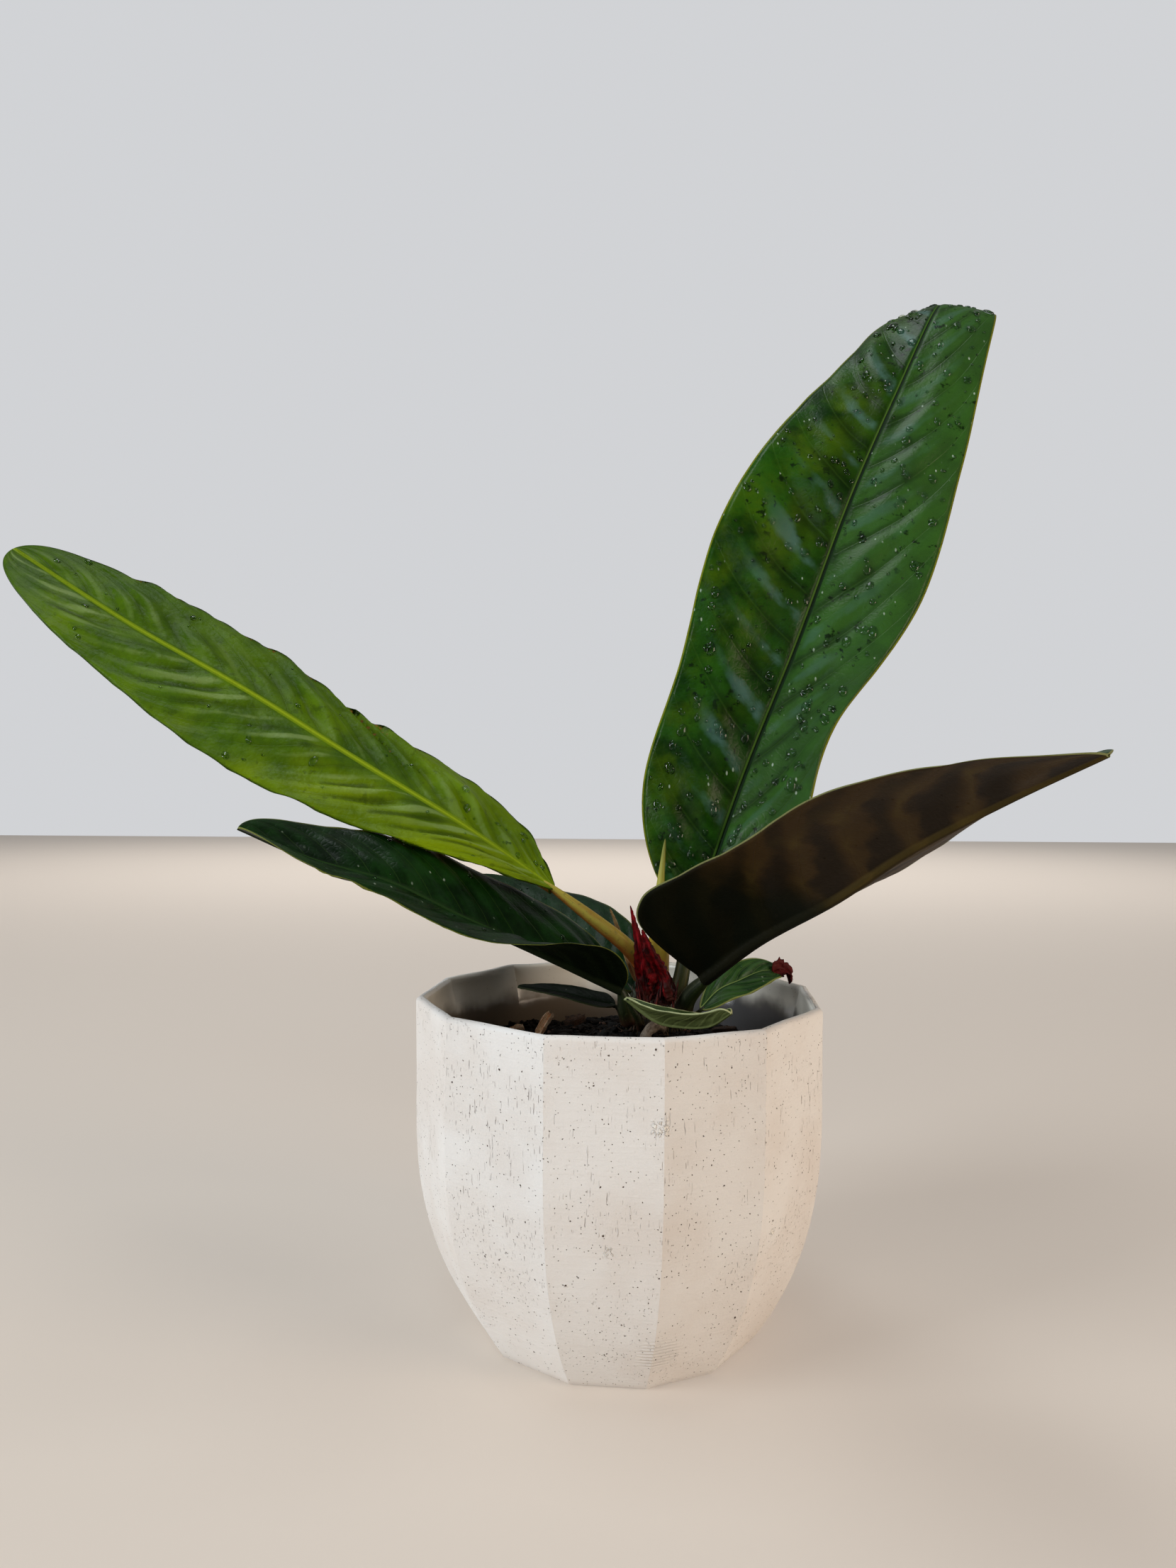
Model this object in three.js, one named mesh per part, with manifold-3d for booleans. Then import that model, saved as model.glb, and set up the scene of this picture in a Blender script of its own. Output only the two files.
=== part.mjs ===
// Potted anthurium: a rosette of long quilted leaves in a hand-faceted stoneware pot.
// Millimetres, +Z up. The origin is the centre of the pot's flat base.
import * as THREE from "three";
import { mergeVertices } from "three/addons/utils/BufferGeometryUtils.js";
import Module from "manifold-3d";

const wasm = await Module();
wasm.setup();

// Pot
const POT_HEIGHT = 147;
const CORNER_RADIUS = 91;
const BASE_CORNER_RADIUS = 61;
const POT_CORNERS = [-82, -52, -20, 9, 37, 69, 102, 134, 165, 190, 217, 248];
const POT_COLUMNS = 48;
const BASE_CHAMFER = 1.5;
const SHOULDER_HEIGHT = 0.72;
const SHOULDER_CURVE = 2.6;
const LIP_RADIUS = 2.2;
const CAVITY_RADIUS = 82;
const CAVITY_DRAW = 32;
const CAVITY_CURVE = 2.4;
const CAVITY_CURVE_TOP = 104;
const FLOOR_THICKNESS = 9;

// Potting mix and crown
const SOIL_LEVEL = 118;
const SOIL_MOUND = 14;
const MOUND_SPREAD = 30;
const SOIL_UNEVENNESS = 1.2;
const SOIL_RINGS = 9;
const CROWN = new THREE.Vector3(15, 2, 0);
const STEM_FOOT = 108;
const STEM_TOP = 142;
const STEM_RADIUS = 12;

// The space between pieces that touch
const GAP = 0.35;

// Leaves
const BLADE_THICKNESS = 1.2;
const BLADE_ROWS = 22;
const BLADE_COLUMNS = 6;
const SMALL_ROWS = 14;
const SHEATH_ROWS = 12;
const SMALL_COLUMNS = 4;
const SPEAR_ROWS = 14;
const TIP_CUT = 0.012;
const BULGE = 0.1;

// Each leaf gives its midrib from base to tip, the way its upper side faces, the half
// widths left and right of the midrib, the turn of the blade about the midrib and the
// rise of each half (degrees, at base, middle and tip), then its petiole and its colour.
const LEAVES = {
  upright: {
    midrib: [[36, 16, 180], [60, 27, 246], [87, 38, 311], [117, 60, 385], [146, 80, 447],
      [177, 106, 508], [187, 137, 497]],
    face: [0.05, -1, 0.25],
    left: [25, 44, 49, 58, 46, 31, 25, 15],
    right: [24, 37, 33, 50, 46, 36, 28, 16],
    turn: [18, 4, 6],
    riseLeft: [12, 6, -50],
    riseRight: [24, 9, 6],
    petiole: [[26, 11, 141], [29, 11, 153], [32, 14, 168], [35.4, 15.6, 178.4]],
    thickness: 7.5,
    colour: 0x2f5f2a,
  },
  young: {
    midrib: [[-30, -5, 194], [-73, -2, 223], [-123, 2, 253], [-172, 5, 283], [-228, 9, 314],
      [-284, 15, 349]],
    face: [0.1, -0.66, 0.75],
    left: [8, 20, 33, 40, 42, 34, 26, 15],
    right: [8, 23, 32, 31, 36, 34, 24, 13],
    turn: [-12, -4, -1],
    riseLeft: [18, -4, 8],
    riseRight: [12, -6, 8],
    petiole: [[17, 7, 144], [12, 5, 156], [3, -1, 168], [-13, -4, 181], [-28.6, -5, 192.8]],
    thickness: 8,
    colour: 0x7c9a2b,
  },
  left: {
    midrib: [[0, -17, 151], [-38, -25, 170], [-68, -35, 185], [-96, -44, 200],
      [-127, -51, 210], [-155, -58, 223]],
    face: [0.25, -0.35, 0.9],
    left: [19, 35, 35, 29, 22, 20, 17, 10],
    right: [18, 31, 32, 30, 27, 24, 18, 10],
    turn: [3, 7, -8],
    riseLeft: [64, 18, 25],
    riseRight: [6, 12, 20],
    petiole: [[4, -10, 134], [2, -14, 142], [0.6, -16.4, 149.4]],
    thickness: 7,
    colour: 0x20462b,
  },
  back: {
    midrib: [[7, 22, 143], [-11, 36, 160], [-31, 49, 170], [-54, 63, 178], [-79, 74, 191]],
    face: [0.3, -0.45, 0.85],
    left: [11, 20, 26, 29, 27, 24, 18, 10],
    right: [11, 20, 26, 29, 27, 24, 18, 10],
    turn: [0, 0, 0],
    riseLeft: [20, 15, 10],
    riseRight: [20, 15, 10],
    petiole: [[10, 17, 134], [9, 19, 138], [7.4, 21.4, 142]],
    thickness: 6,
    colour: 0x234a30,
  },
  right: {
    midrib: [[36, -23, 157], [56, -47, 178], [80, -77, 198], [101, -105, 219],
      [123, -135, 237], [141, -168, 253]],
    face: [-0.3, 0.75, 0.6],
    left: [24, 42, 48, 48, 46, 39, 29, 15],
    right: [26, 48, 48, 47, 47, 40, 30, 15],
    turn: [-2, -3, -11],
    riseLeft: [29, 22, 20],
    riseRight: [28, 20, 13],
    petiole: [[27, -10, 139], [30, -15, 148], [35.2, -22, 155.8]],
    thickness: 8,
    colour: 0x4a3c22,
  },
  small_left: {
    midrib: [[-2, 0, 141], [-13, 1, 143], [-24, 5, 145], [-35, 9, 146], [-47, 11, 147]],
    face: [0.05, -0.3, 0.95],
    left: [4, 7, 7, 7, 6, 5, 3, 2],
    right: [4, 7, 7, 7, 6, 5, 3, 2],
    turn: [0, 0, 0],
    riseLeft: [12, 12, 12],
    riseRight: [12, 12, 12],
    petiole: [[1.6, 1, 134], [0.4, 0.5, 138], [-1.4, 0, 140.2]],
    thickness: 3,
    colour: 0x1f3320,
  },
  small_front: {
    midrib: [[2, -23, 149], [14, -35, 142], [24, -42, 141], [35, -50, 143], [43, -58, 150]],
    face: [0, 0.3, 0.95],
    left: [2, 5, 9, 10, 9, 8, 6, 4],
    right: [2, 5, 9, 10, 9, 8, 6, 4],
    turn: [0, 0, 0],
    riseLeft: [50, 45, 50],
    riseRight: [35, 35, 45],
    petiole: [[9, -14, 133], [7, -21, 140], [2.8, -23.4, 147.6]],
    thickness: 3,
    colour: 0x9aa06c,
  },
  small_right: {
    midrib: [[36, -8, 141], [45, 0, 149], [55, 7, 152], [67, 15, 156], [78, 20, 156]],
    face: [-0.1, -0.75, 0.65],
    left: [2, 4, 5, 6, 6, 4, 3, 2],
    right: [2, 4, 5, 6, 6, 5, 4, 2],
    turn: [0, 0, 0],
    riseLeft: [8, 8, 8],
    riseRight: [8, 8, 8],
    petiole: [[29, -2, 132], [32.5, -4.5, 136], [35.4, -7.6, 140]],
    thickness: 3,
    colour: 0x3c6a45,
  },
};

// Sheaths that wrapped young leaves. They are made as narrow folded blades.
const SHEATHS = {
  red_sheath_left: {
    midrib: [[10.5, -15, 145], [9.5, -15.5, 159], [7.5, -15.5, 172], [4, -15, 188]],
    face: [0.3, 0.9, 0.1],
    left: [3.5, 4.5, 4.5, 3.5, 2, 0.9],
    right: [3.5, 4.5, 4.5, 3.5, 2, 0.9],
    turn: [0, 0, 0],
    riseLeft: [30, 30, 20],
    riseRight: [30, 30, 20],
    colour: 0x6a1420,
  },
  red_sheath_right: {
    midrib: [[21.5, -17, 145], [18, -18.5, 157], [13, -19.5, 168], [9, -18.5, 178]],
    face: [-0.3, 0.9, 0.1],
    left: [3.5, 5, 5, 4, 2.5, 1.2],
    right: [3.5, 5, 5, 4, 2.5, 1.2],
    turn: [0, 0, 0],
    riseLeft: [30, 30, 20],
    riseRight: [30, 30, 20],
    colour: 0x7c1a28,
  },
  dry_sheath: {
    midrib: [[8, 9, 150], [2, 8, 166], [-2, 7, 178], [-4.5, 6, 184]],
    face: [0, -1, 0],
    left: [1.2, 1.4, 1.3, 0.9, 0.6, 0.4],
    right: [1.2, 1.4, 1.3, 0.9, 0.6, 0.4],
    turn: [0, 0, 0],
    riseLeft: [20, 20, 10],
    riseRight: [20, 20, 10],
    colour: 0xc0a070,
  },
};

// The rolled new leaf stands in the middle of the rosette.
const SPEAR_PATH = [[17, -6, 144], [17, -6, 166], [17.5, -5, 190], [20, -3, 217]];
const SPEAR_WIDTHS = [3.6, 4.4, 4.6, 4.4, 3.4, 2.2, 1.3, 0.5];

// Aerial roots leave the stem's foot and bend down to the mix.
const ROOTS = {
  aerial_root_front: {
    path: [[19, -13.5, 133], [16, -18, 136], [12, -22, 134.5], [8, -25, 128]],
    widths: [2.2, 2.4, 2.5, 2.2, 1.4],
  },
  aerial_root_back: {
    path: [[18, 17, 133], [21, 23, 133], [23, 29, 130], [24, 33, 125.5]],
    widths: [1.8, 1.9, 1.8, 1.6, 1],
  },
};

// Loose bark: length, width, thickness, place on the mix, turn and tilt in degrees.
const CHIPS = {
  bark_chip_curled: { size: [17, 6, 2.2], at: [-35, 30], turn: 62, tilt: 34 },
  bark_chip_pale_1: { size: [11, 7, 2], at: [-51, 41], turn: 15, tilt: 6 },
  bark_chip_pale_2: { size: [9, 6, 2.4], at: [-60, 26], turn: -35, tilt: 5 },
  bark_chip_dark_1: { size: [10, 8, 4], at: [-21, 62], turn: 40, tilt: 12 },
  bark_chip_dark_2: { size: [12, 7, 3], at: [52, 38], turn: -20, tilt: 8 },
  bark_chip_dark_3: { size: [9, 7, 3], at: [-40, -42], turn: 75, tilt: 7 },
  bark_chip_front: { size: [13, 8, 3], at: [22, -60], turn: 10, tilt: 6 },
};

const vector = ([x, y, z]) => new THREE.Vector3(x, y, z);

// A smooth run through evenly spaced numbers, for a place between 0 and 1.
function smooth(values, place) {
  const last = values.length - 1;
  const i = Math.min(Math.floor(place * last), last - 1);
  const t = place * last - i;
  const step = values[i + 1] - values[i];
  const slopeIn = i === 0 ? step : (values[i + 1] - values[i - 1]) / 2;
  const slopeOut = i === last - 1 ? step : (values[i + 2] - values[i]) / 2;
  return values[i] + slopeIn * t + (3 * step - 2 * slopeIn - slopeOut) * t * t
    + (slopeIn + slopeOut - 2 * step) * t ** 3;
}

function smoothPoint(points, place) {
  return vector([0, 1, 2].map((axis) => smooth(points.map((p) => p[axis]), place)));
}

// Frames along a path: each frame's normal is the last one's, kept square to the path.
function framesAlong(path, face, places) {
  const step = 0.002;
  const frames = places.map((place) => {
    const before = smoothPoint(path, Math.max(place - step, 0));
    const after = smoothPoint(path, Math.min(place + step, 1));
    return { centre: smoothPoint(path, place), along: after.sub(before).normalize() };
  });
  const square = (normal, along) => normal.clone().addScaledVector(along, -normal.dot(along))
    .normalize();
  const middle = Math.floor(frames.length / 2);
  frames[middle].up = square(face, frames[middle].along);
  for (let i = middle + 1; i < frames.length; i++) {
    frames[i].up = square(frames[i - 1].up, frames[i].along);
  }
  for (let i = middle - 1; i >= 0; i--) {
    frames[i].up = square(frames[i + 1].up, frames[i].along);
  }
  return frames;
}

// Merges a geometry's vertices by position, so that it is one closed body.
function closed(geometry) {
  geometry.deleteAttribute("normal");
  geometry.deleteAttribute("uv");
  const merged = mergeVertices(geometry, 1e-4);
  merged.computeVertexNormals();
  return merged;
}

// Rows sit closer together towards the base and the tip, where the outline turns.
const rowPlace = (row) => (1 - Math.cos(Math.PI * row)) / 2;

// A blade is a thin box bent onto the leaf's surface.
function bladeGeometry(leaf, rows, columns) {
  const geometry = new THREE.BoxGeometry(2, 1, BLADE_THICKNESS, columns, rows, 1);
  const shares = Array.from({ length: rows + 1 }, (_, i) => TIP_CUT + (1 - 2 * TIP_CUT) * i / rows);
  const frames = framesAlong(leaf.midrib, vector(leaf.face), shares.map(rowPlace));
  const position = geometry.getAttribute("position");
  for (let i = 0; i < position.count; i++) {
    const row = Math.round((position.getY(i) + 0.5) * rows);
    const point = bladePoint(leaf, frames[row], shares[row], position.getX(i));
    point.addScaledVector(frames[row].up, position.getZ(i));
    position.setXYZ(i, point.x, point.y, point.z);
  }
  return closed(geometry);
}

function bladePoint(leaf, frame, share, across) {
  const { centre, along, up } = frame;
  const place = rowPlace(share);
  const turn = THREE.MathUtils.degToRad(smooth(leaf.turn, place));
  const side = new THREE.Vector3().crossVectors(along, up);
  const sideways = side.clone().multiplyScalar(Math.cos(turn)).addScaledVector(up, Math.sin(turn));
  const upwards = up.clone().multiplyScalar(Math.cos(turn)).addScaledVector(side, -Math.sin(turn));
  const [widths, rises] = across < 0 ? [leaf.left, leaf.riseLeft] : [leaf.right, leaf.riseRight];
  const reach = Math.abs(across) * smooth([0, ...widths, 0], share);
  const rise = THREE.MathUtils.degToRad(smooth(rises, place));
  return centre.clone()
    .addScaledVector(sideways, Math.sign(across) * reach * Math.cos(rise))
    .addScaledVector(upwards, reach * (Math.sin(rise) + BULGE * (1 - Math.abs(across))));
}

// A round stalk whose width changes along its path is a bent cylinder.
function stalkGeometry(path, widths, rows = 8, sides = 8) {
  const geometry = new THREE.CylinderGeometry(1, 1, 1, sides, rows);
  const places = Array.from({ length: rows + 1 }, (_, i) => i / rows);
  const frames = framesAlong(path, new THREE.Vector3(0, 1, 0.1), places);
  const position = geometry.getAttribute("position");
  for (let i = 0; i < position.count; i++) {
    const row = Math.round((position.getY(i) + 0.5) * rows);
    const { centre, along, up } = frames[row];
    const side = new THREE.Vector3().crossVectors(along, up);
    const radius = smooth(widths, places[row]);
    const point = centre.clone().addScaledVector(up, radius * position.getX(i))
      .addScaledVector(side, -radius * position.getZ(i));
    position.setXYZ(i, point.x, point.y, point.z);
  }
  return closed(geometry);
}

function makeMesh(name, geometry, colour, roughness) {
  const material = new THREE.MeshStandardMaterial({ color: colour, roughness, metalness: 0 });
  const mesh = new THREE.Mesh(geometry, material);
  mesh.name = name;
  return mesh;
}

// How far the faceted outside lies from the axis, as a share of the corner radius.
function facetShare(degrees) {
  const corners = [...POT_CORNERS, POT_CORNERS[0] + 360];
  const turned = POT_CORNERS[0] + ((degrees - POT_CORNERS[0]) % 360 + 360) % 360;
  const i = corners.findIndex((corner, n) => turned >= corner - 1e-6 && turned < corners[n + 1]);
  const half = (corners[i + 1] - corners[i]) / 2;
  const fromMiddle = turned - (corners[i] + half);
  return Math.cos(THREE.MathUtils.degToRad(half)) / Math.cos(THREE.MathUtils.degToRad(fromMiddle));
}

// Columns stand at the corners and at three even steps between them.
function columnAngle(column) {
  const steps = POT_COLUMNS / POT_CORNERS.length;
  const i = Math.floor(column / steps) % POT_CORNERS.length;
  const next = i + 1 < POT_CORNERS.length ? POT_CORNERS[i + 1] : POT_CORNERS[0] + 360;
  return POT_CORNERS[i] + (next - POT_CORNERS[i]) * (column % steps) / steps;
}

function outerRadius(height) {
  const share = Math.min(height / POT_HEIGHT / SHOULDER_HEIGHT, 1);
  const shoulder = 1 - (1 - share) ** SHOULDER_CURVE;
  return BASE_CORNER_RADIUS + (CORNER_RADIUS - BASE_CORNER_RADIUS) * shoulder;
}

// The profile runs up the outside, over the round lip, down the glazed inside and
// across the floor. Each point says how much of the outside's facets it follows.
function potProfile() {
  const outside = [0, 2, 8, 16, 26, 38, 52, 68, 86, 106, 126, POT_HEIGHT - LIP_RADIUS]
    .map((height) => [outerRadius(height) - (height === 0 ? BASE_CHAMFER : 0), height, 1]);
  const lip = [50, 90, 130].map((degrees) => {
    const angle = THREE.MathUtils.degToRad(degrees);
    const radius = CORNER_RADIUS - LIP_RADIUS * (1 - Math.cos(angle));
    return [radius, POT_HEIGHT - LIP_RADIUS * (1 - Math.sin(angle)), 1];
  });
  const inside = [[CORNER_RADIUS - 2 * LIP_RADIUS, 143, 0.9], [84.5, 136, 0.5]];
  for (const height of [126, 100, 76, 56, 40, 28, 18]) {
    const span = CAVITY_CURVE_TOP - FLOOR_THICKNESS;
    const depth = Math.max(0, (CAVITY_CURVE_TOP - height) / span);
    inside.push([CAVITY_RADIUS - CAVITY_DRAW * depth ** CAVITY_CURVE, height, 0]);
  }
  inside.push([44, FLOOR_THICKNESS + 1.5, 0], [34, FLOOR_THICKNESS, 0]);
  return [[0, 0, 0], ...outside, ...lip, ...inside, [0, FLOOR_THICKNESS, 0]];
}

function potGeometry() {
  const profile = potProfile();
  const points = profile.map(([radius, height]) => new THREE.Vector2(radius, height));
  const geometry = new THREE.LatheGeometry(points, POT_COLUMNS);
  const position = geometry.getAttribute("position");
  for (let i = 0; i < position.count; i++) {
    const [radius, height, follow] = profile[i % profile.length];
    const degrees = columnAngle(Math.floor(i / profile.length) % POT_COLUMNS);
    const angle = THREE.MathUtils.degToRad(degrees);
    const reach = radius * (1 + follow * (facetShare(degrees) - 1));
    position.setXYZ(i, reach * Math.sin(angle), -reach * Math.cos(angle), height);
  }
  return closed(geometry);
}

const soilHeight = (x, y) => SOIL_LEVEL
  + SOIL_MOUND * Math.exp(-((x - CROWN.x) ** 2 + (y - CROWN.y) ** 2) / MOUND_SPREAD ** 2)
  + SOIL_UNEVENNESS * Math.sin(x / 9 + 1) * Math.cos(y / 11);

// The mix fills the pot to its glazed wall, with a mound around the crown.
function soilGeometry() {
  const wall = potProfile().filter(([, height, follow]) => follow === 0 && height > 0
    && height < SOIL_LEVEL).reverse();
  const clear = GAP + 0.2;
  const sides = wall.slice(1).map(([radius, height]) => [radius - clear, height + GAP]);
  const top = Array.from({ length: SOIL_RINGS }, (_, ring) => [
    (CAVITY_RADIUS - clear) * (1 - ring / SOIL_RINGS), SOIL_LEVEL]);
  const points = [[0, FLOOR_THICKNESS + GAP], ...sides, ...top, [0, SOIL_LEVEL]]
    .map(([radius, height]) => new THREE.Vector2(radius, height));
  const geometry = new THREE.LatheGeometry(points, 36).rotateX(Math.PI / 2);
  const position = geometry.getAttribute("position");
  for (let i = 0; i < position.count; i++) {
    if (Math.abs(position.getZ(i) - SOIL_LEVEL) < 1e-3) {
      position.setZ(i, soilHeight(position.getX(i), position.getY(i)));
    }
  }
  return closed(geometry);
}

function stemPoints(clearance) {
  const foot = STEM_FOOT - clearance;
  const radii = [0.6, 0.85, 1, 1, 0.88, 0.66, 0.35];
  const heights = [0, 0.15, 0.35, 0.6, 0.8, 0.93, 1];
  const rise = STEM_TOP + clearance - foot;
  const profile = radii.map((share, i) => new THREE.Vector2(STEM_RADIUS * share + clearance,
    foot + rise * heights[i]));
  return [new THREE.Vector2(0, foot), ...profile, new THREE.Vector2(0, foot + rise)];
}

function stemGeometry(clearance = 0) {
  const geometry = new THREE.LatheGeometry(stemPoints(clearance), 16).rotateX(Math.PI / 2);
  return closed(geometry.translate(CROWN.x, CROWN.y, 0));
}

function toManifold(geometry) {
  const bare = geometry.clone();
  bare.deleteAttribute("normal");
  const vertProperties = new Float32Array(bare.getAttribute("position").array);
  const triVerts = new Uint32Array(bare.getIndex().array);
  return new wasm.Manifold(new wasm.Mesh({ numProp: 3, vertProperties, triVerts }));
}

function fromManifold(solid) {
  const { vertProperties, triVerts } = solid.getMesh();
  const geometry = new THREE.BufferGeometry();
  geometry.setAttribute("position", new THREE.BufferAttribute(vertProperties, 3));
  geometry.setIndex(new THREE.BufferAttribute(triVerts, 1));
  geometry.computeVertexNormals();
  return geometry;
}

// A chip of bark: a box whose ends are narrower and bent down a little.
function chipGeometry([length, width, thickness]) {
  const geometry = new THREE.BoxGeometry(length, width, thickness, 4, 2, 1);
  const narrowing = 0.45;
  const bend = 0.06 * length;
  const position = geometry.getAttribute("position");
  for (let i = 0; i < position.count; i++) {
    const x = position.getX(i);
    const end = Math.abs(x) / (length / 2);
    const y = position.getY(i) * (1 - narrowing * end ** 3);
    position.setXYZ(i, x, y, position.getZ(i) - bend * end ** 2);
  }
  return closed(geometry);
}

// A chip is turned and tilted, then set down so that its lowest point clears the mix.
function chipMesh(name, chip) {
  const pale = name.includes("pale") || name.includes("curled");
  const mesh = makeMesh(name, chipGeometry(chip.size), pale ? 0xa9825c : 0x3a2a20, 0.9);
  const [x, y] = chip.at;
  const turn = THREE.MathUtils.degToRad(chip.turn);
  const tilt = THREE.MathUtils.degToRad(chip.tilt);
  mesh.geometry.rotateY(-tilt).rotateZ(turn);
  const position = mesh.geometry.getAttribute("position");
  let lift = 0;
  for (let i = 0; i < position.count; i++) {
    const under = soilHeight(x + position.getX(i), y + position.getY(i));
    lift = Math.max(lift, under - position.getZ(i));
  }
  mesh.position.set(x, y, lift + 2 * GAP);
  return mesh;
}

function leafMeshes(name, leaf) {
  const half = leaf.thickness / 2;
  const small = name.startsWith("small");
  const grid = small ? [SMALL_ROWS, SMALL_COLUMNS] : [BLADE_ROWS, BLADE_COLUMNS];
  const blade = makeMesh(`${name}_leaf_blade`, bladeGeometry(leaf, ...grid), leaf.colour, 0.35);
  const widths = [half * 1.15, half, half * 0.9, half * 0.75, half * 0.45];
  const petiole = stalkGeometry(leaf.petiole, widths);
  return [blade, makeMesh(`${name}_leaf_petiole`, petiole, 0x5f6a34, 0.45)];
}

function sheathMesh(name, sheath) {
  const geometry = bladeGeometry(sheath, SHEATH_ROWS, SMALL_COLUMNS);
  return makeMesh(name, geometry, sheath.colour, 0.7);
}

const part = new THREE.Group();
part.add(makeMesh("pot", potGeometry(), 0xe9e4da, 0.7));

const pit = toManifold(stemGeometry(GAP));
const mix = toManifold(soilGeometry()).subtract(pit);
part.add(makeMesh("potting_mix", fromManifold(mix), 0x2a211c, 0.95));
part.add(makeMesh("stem", stemGeometry(), 0x4a4a2c, 0.8));

for (const [name, leaf] of Object.entries(LEAVES)) {
  part.add(...leafMeshes(name, leaf));
}
for (const [name, sheath] of Object.entries(SHEATHS)) {
  part.add(sheathMesh(name, sheath));
}
const spear = stalkGeometry(SPEAR_PATH, SPEAR_WIDTHS, SPEAR_ROWS);
part.add(makeMesh("new_leaf_spear", spear, 0xb8a850, 0.5));
for (const [name, root] of Object.entries(ROOTS)) {
  part.add(makeMesh(name, stalkGeometry(root.path, root.widths), 0x9a8570, 0.8));
}
for (const [name, chip] of Object.entries(CHIPS)) {
  part.add(chipMesh(name, chip));
}

export default part;
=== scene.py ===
# Potted anthurium: the looks of a rosette of long quilted leaves in a hand-faceted stoneware pot.
import math
import random

import bmesh
import bpy
from mathutils import Matrix, Vector, noise


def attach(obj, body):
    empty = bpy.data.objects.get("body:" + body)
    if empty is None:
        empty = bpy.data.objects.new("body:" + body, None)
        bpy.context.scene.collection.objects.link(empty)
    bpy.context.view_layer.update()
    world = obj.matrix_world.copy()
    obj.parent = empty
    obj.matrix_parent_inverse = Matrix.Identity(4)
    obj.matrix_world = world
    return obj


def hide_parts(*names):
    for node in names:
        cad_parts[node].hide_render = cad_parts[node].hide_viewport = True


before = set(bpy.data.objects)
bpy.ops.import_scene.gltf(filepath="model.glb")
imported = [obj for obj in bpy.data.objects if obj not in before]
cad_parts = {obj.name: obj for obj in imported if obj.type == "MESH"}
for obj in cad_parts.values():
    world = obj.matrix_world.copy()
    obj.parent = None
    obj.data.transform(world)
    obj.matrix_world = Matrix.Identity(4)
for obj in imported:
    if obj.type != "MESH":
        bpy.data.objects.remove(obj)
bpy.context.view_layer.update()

# Camera
# It stands half a metre in front of the pot, level with the lower leaves, with a wide lens.
PHOTO_HEIGHT = 2212
FOCAL_LENGTH_IN_PIXELS = 1534
CAMERA_PLACE = (-0.015, -0.493, 0.243)
CAMERA_TILT = (math.radians(89.8), math.radians(-0.37), 0)


def shown(name, data):
    """A new object in the scene."""
    made = bpy.data.objects.new(name, data)
    bpy.context.scene.collection.objects.link(made)
    return made


camera_data = bpy.data.cameras.new("camera")
camera_data.sensor_width = 36
camera_data.lens = camera_data.sensor_width * FOCAL_LENGTH_IN_PIXELS / PHOTO_HEIGHT
camera = shown("camera", camera_data)
camera.location = CAMERA_PLACE
camera.rotation_euler = CAMERA_TILT
bpy.context.scene.camera = camera


# Floor and light
# A plain pale floor, which glows a little, in a pale studio. A cool window on the left and a
# warm one on the right light the pot's facets, small ones above and in front make the sheen
# on the leaves. The air behind the plant is brighter, and one more window lights the floor.
FLOOR_SIZE = 8.0
FLOOR_COLOUR = (0.56, 0.49, 0.42, 1)
FLOOR_ROUGHNESS = 0.8
FLOOR_GLOW = 0.2
GLOW_COLOUR = (1.0, 0.94, 0.88, 1)
BACKDROP_COLOUR = (0.64, 0.65, 0.67, 1)
AIR_BEHIND = (0.30, 0.30, 0.30, 1)
AIR_IN_FRONT = (0.075, 0.068, 0.065, 1)
# Where the air starts to brighten and where it is brightest: -1 is in front and 1 behind.
AIR_CHANGE = (-0.5, 0.7)
PLANT_MIDDLE = (0, 0, 0.22)
# Place, size, power, tint, where it points, and how wide its light spreads in degrees.
WINDOWS = {
    "window_above": ((-0.2, 0.0, 1.9), (1.0, 0.5), 8, (0.92, 0.97, 1.0), PLANT_MIDDLE, 180),
    "window_in_front": ((-0.15, -1.25, 1.15), (0.9, 0.2), 2.6, (0.70, 0.87, 1.0),
                        PLANT_MIDDLE, 180),
    "window_left": ((-1.75, -0.85, 0.75), (0.8, 1.0), 26, (0.93, 0.97, 1.0), PLANT_MIDDLE, 180),
    "window_right": ((1.5, -0.85, 0.62), (0.8, 0.8), 15, (1.0, 0.80, 0.62), PLANT_MIDDLE, 180),
    "window_behind": ((0, 2.5, 2.4), (3.6, 2.0), 22, (1.0, 0.98, 0.96), (0, 2.5, 0), 76),
}

for name, (place, size, power, tint, aim, spread) in WINDOWS.items():
    lamp_data = bpy.data.lights.new(name, "AREA")
    lamp_data.shape = "RECTANGLE"
    lamp_data.size, lamp_data.size_y = size
    lamp_data.energy = power
    lamp_data.color = tint
    lamp_data.spread = math.radians(spread)
    lamp = shown(name, lamp_data)
    lamp.location = place
    lamp.rotation_euler = (Vector(aim) - Vector(place)).to_track_quat("-Z", "Y").to_euler()

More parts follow.
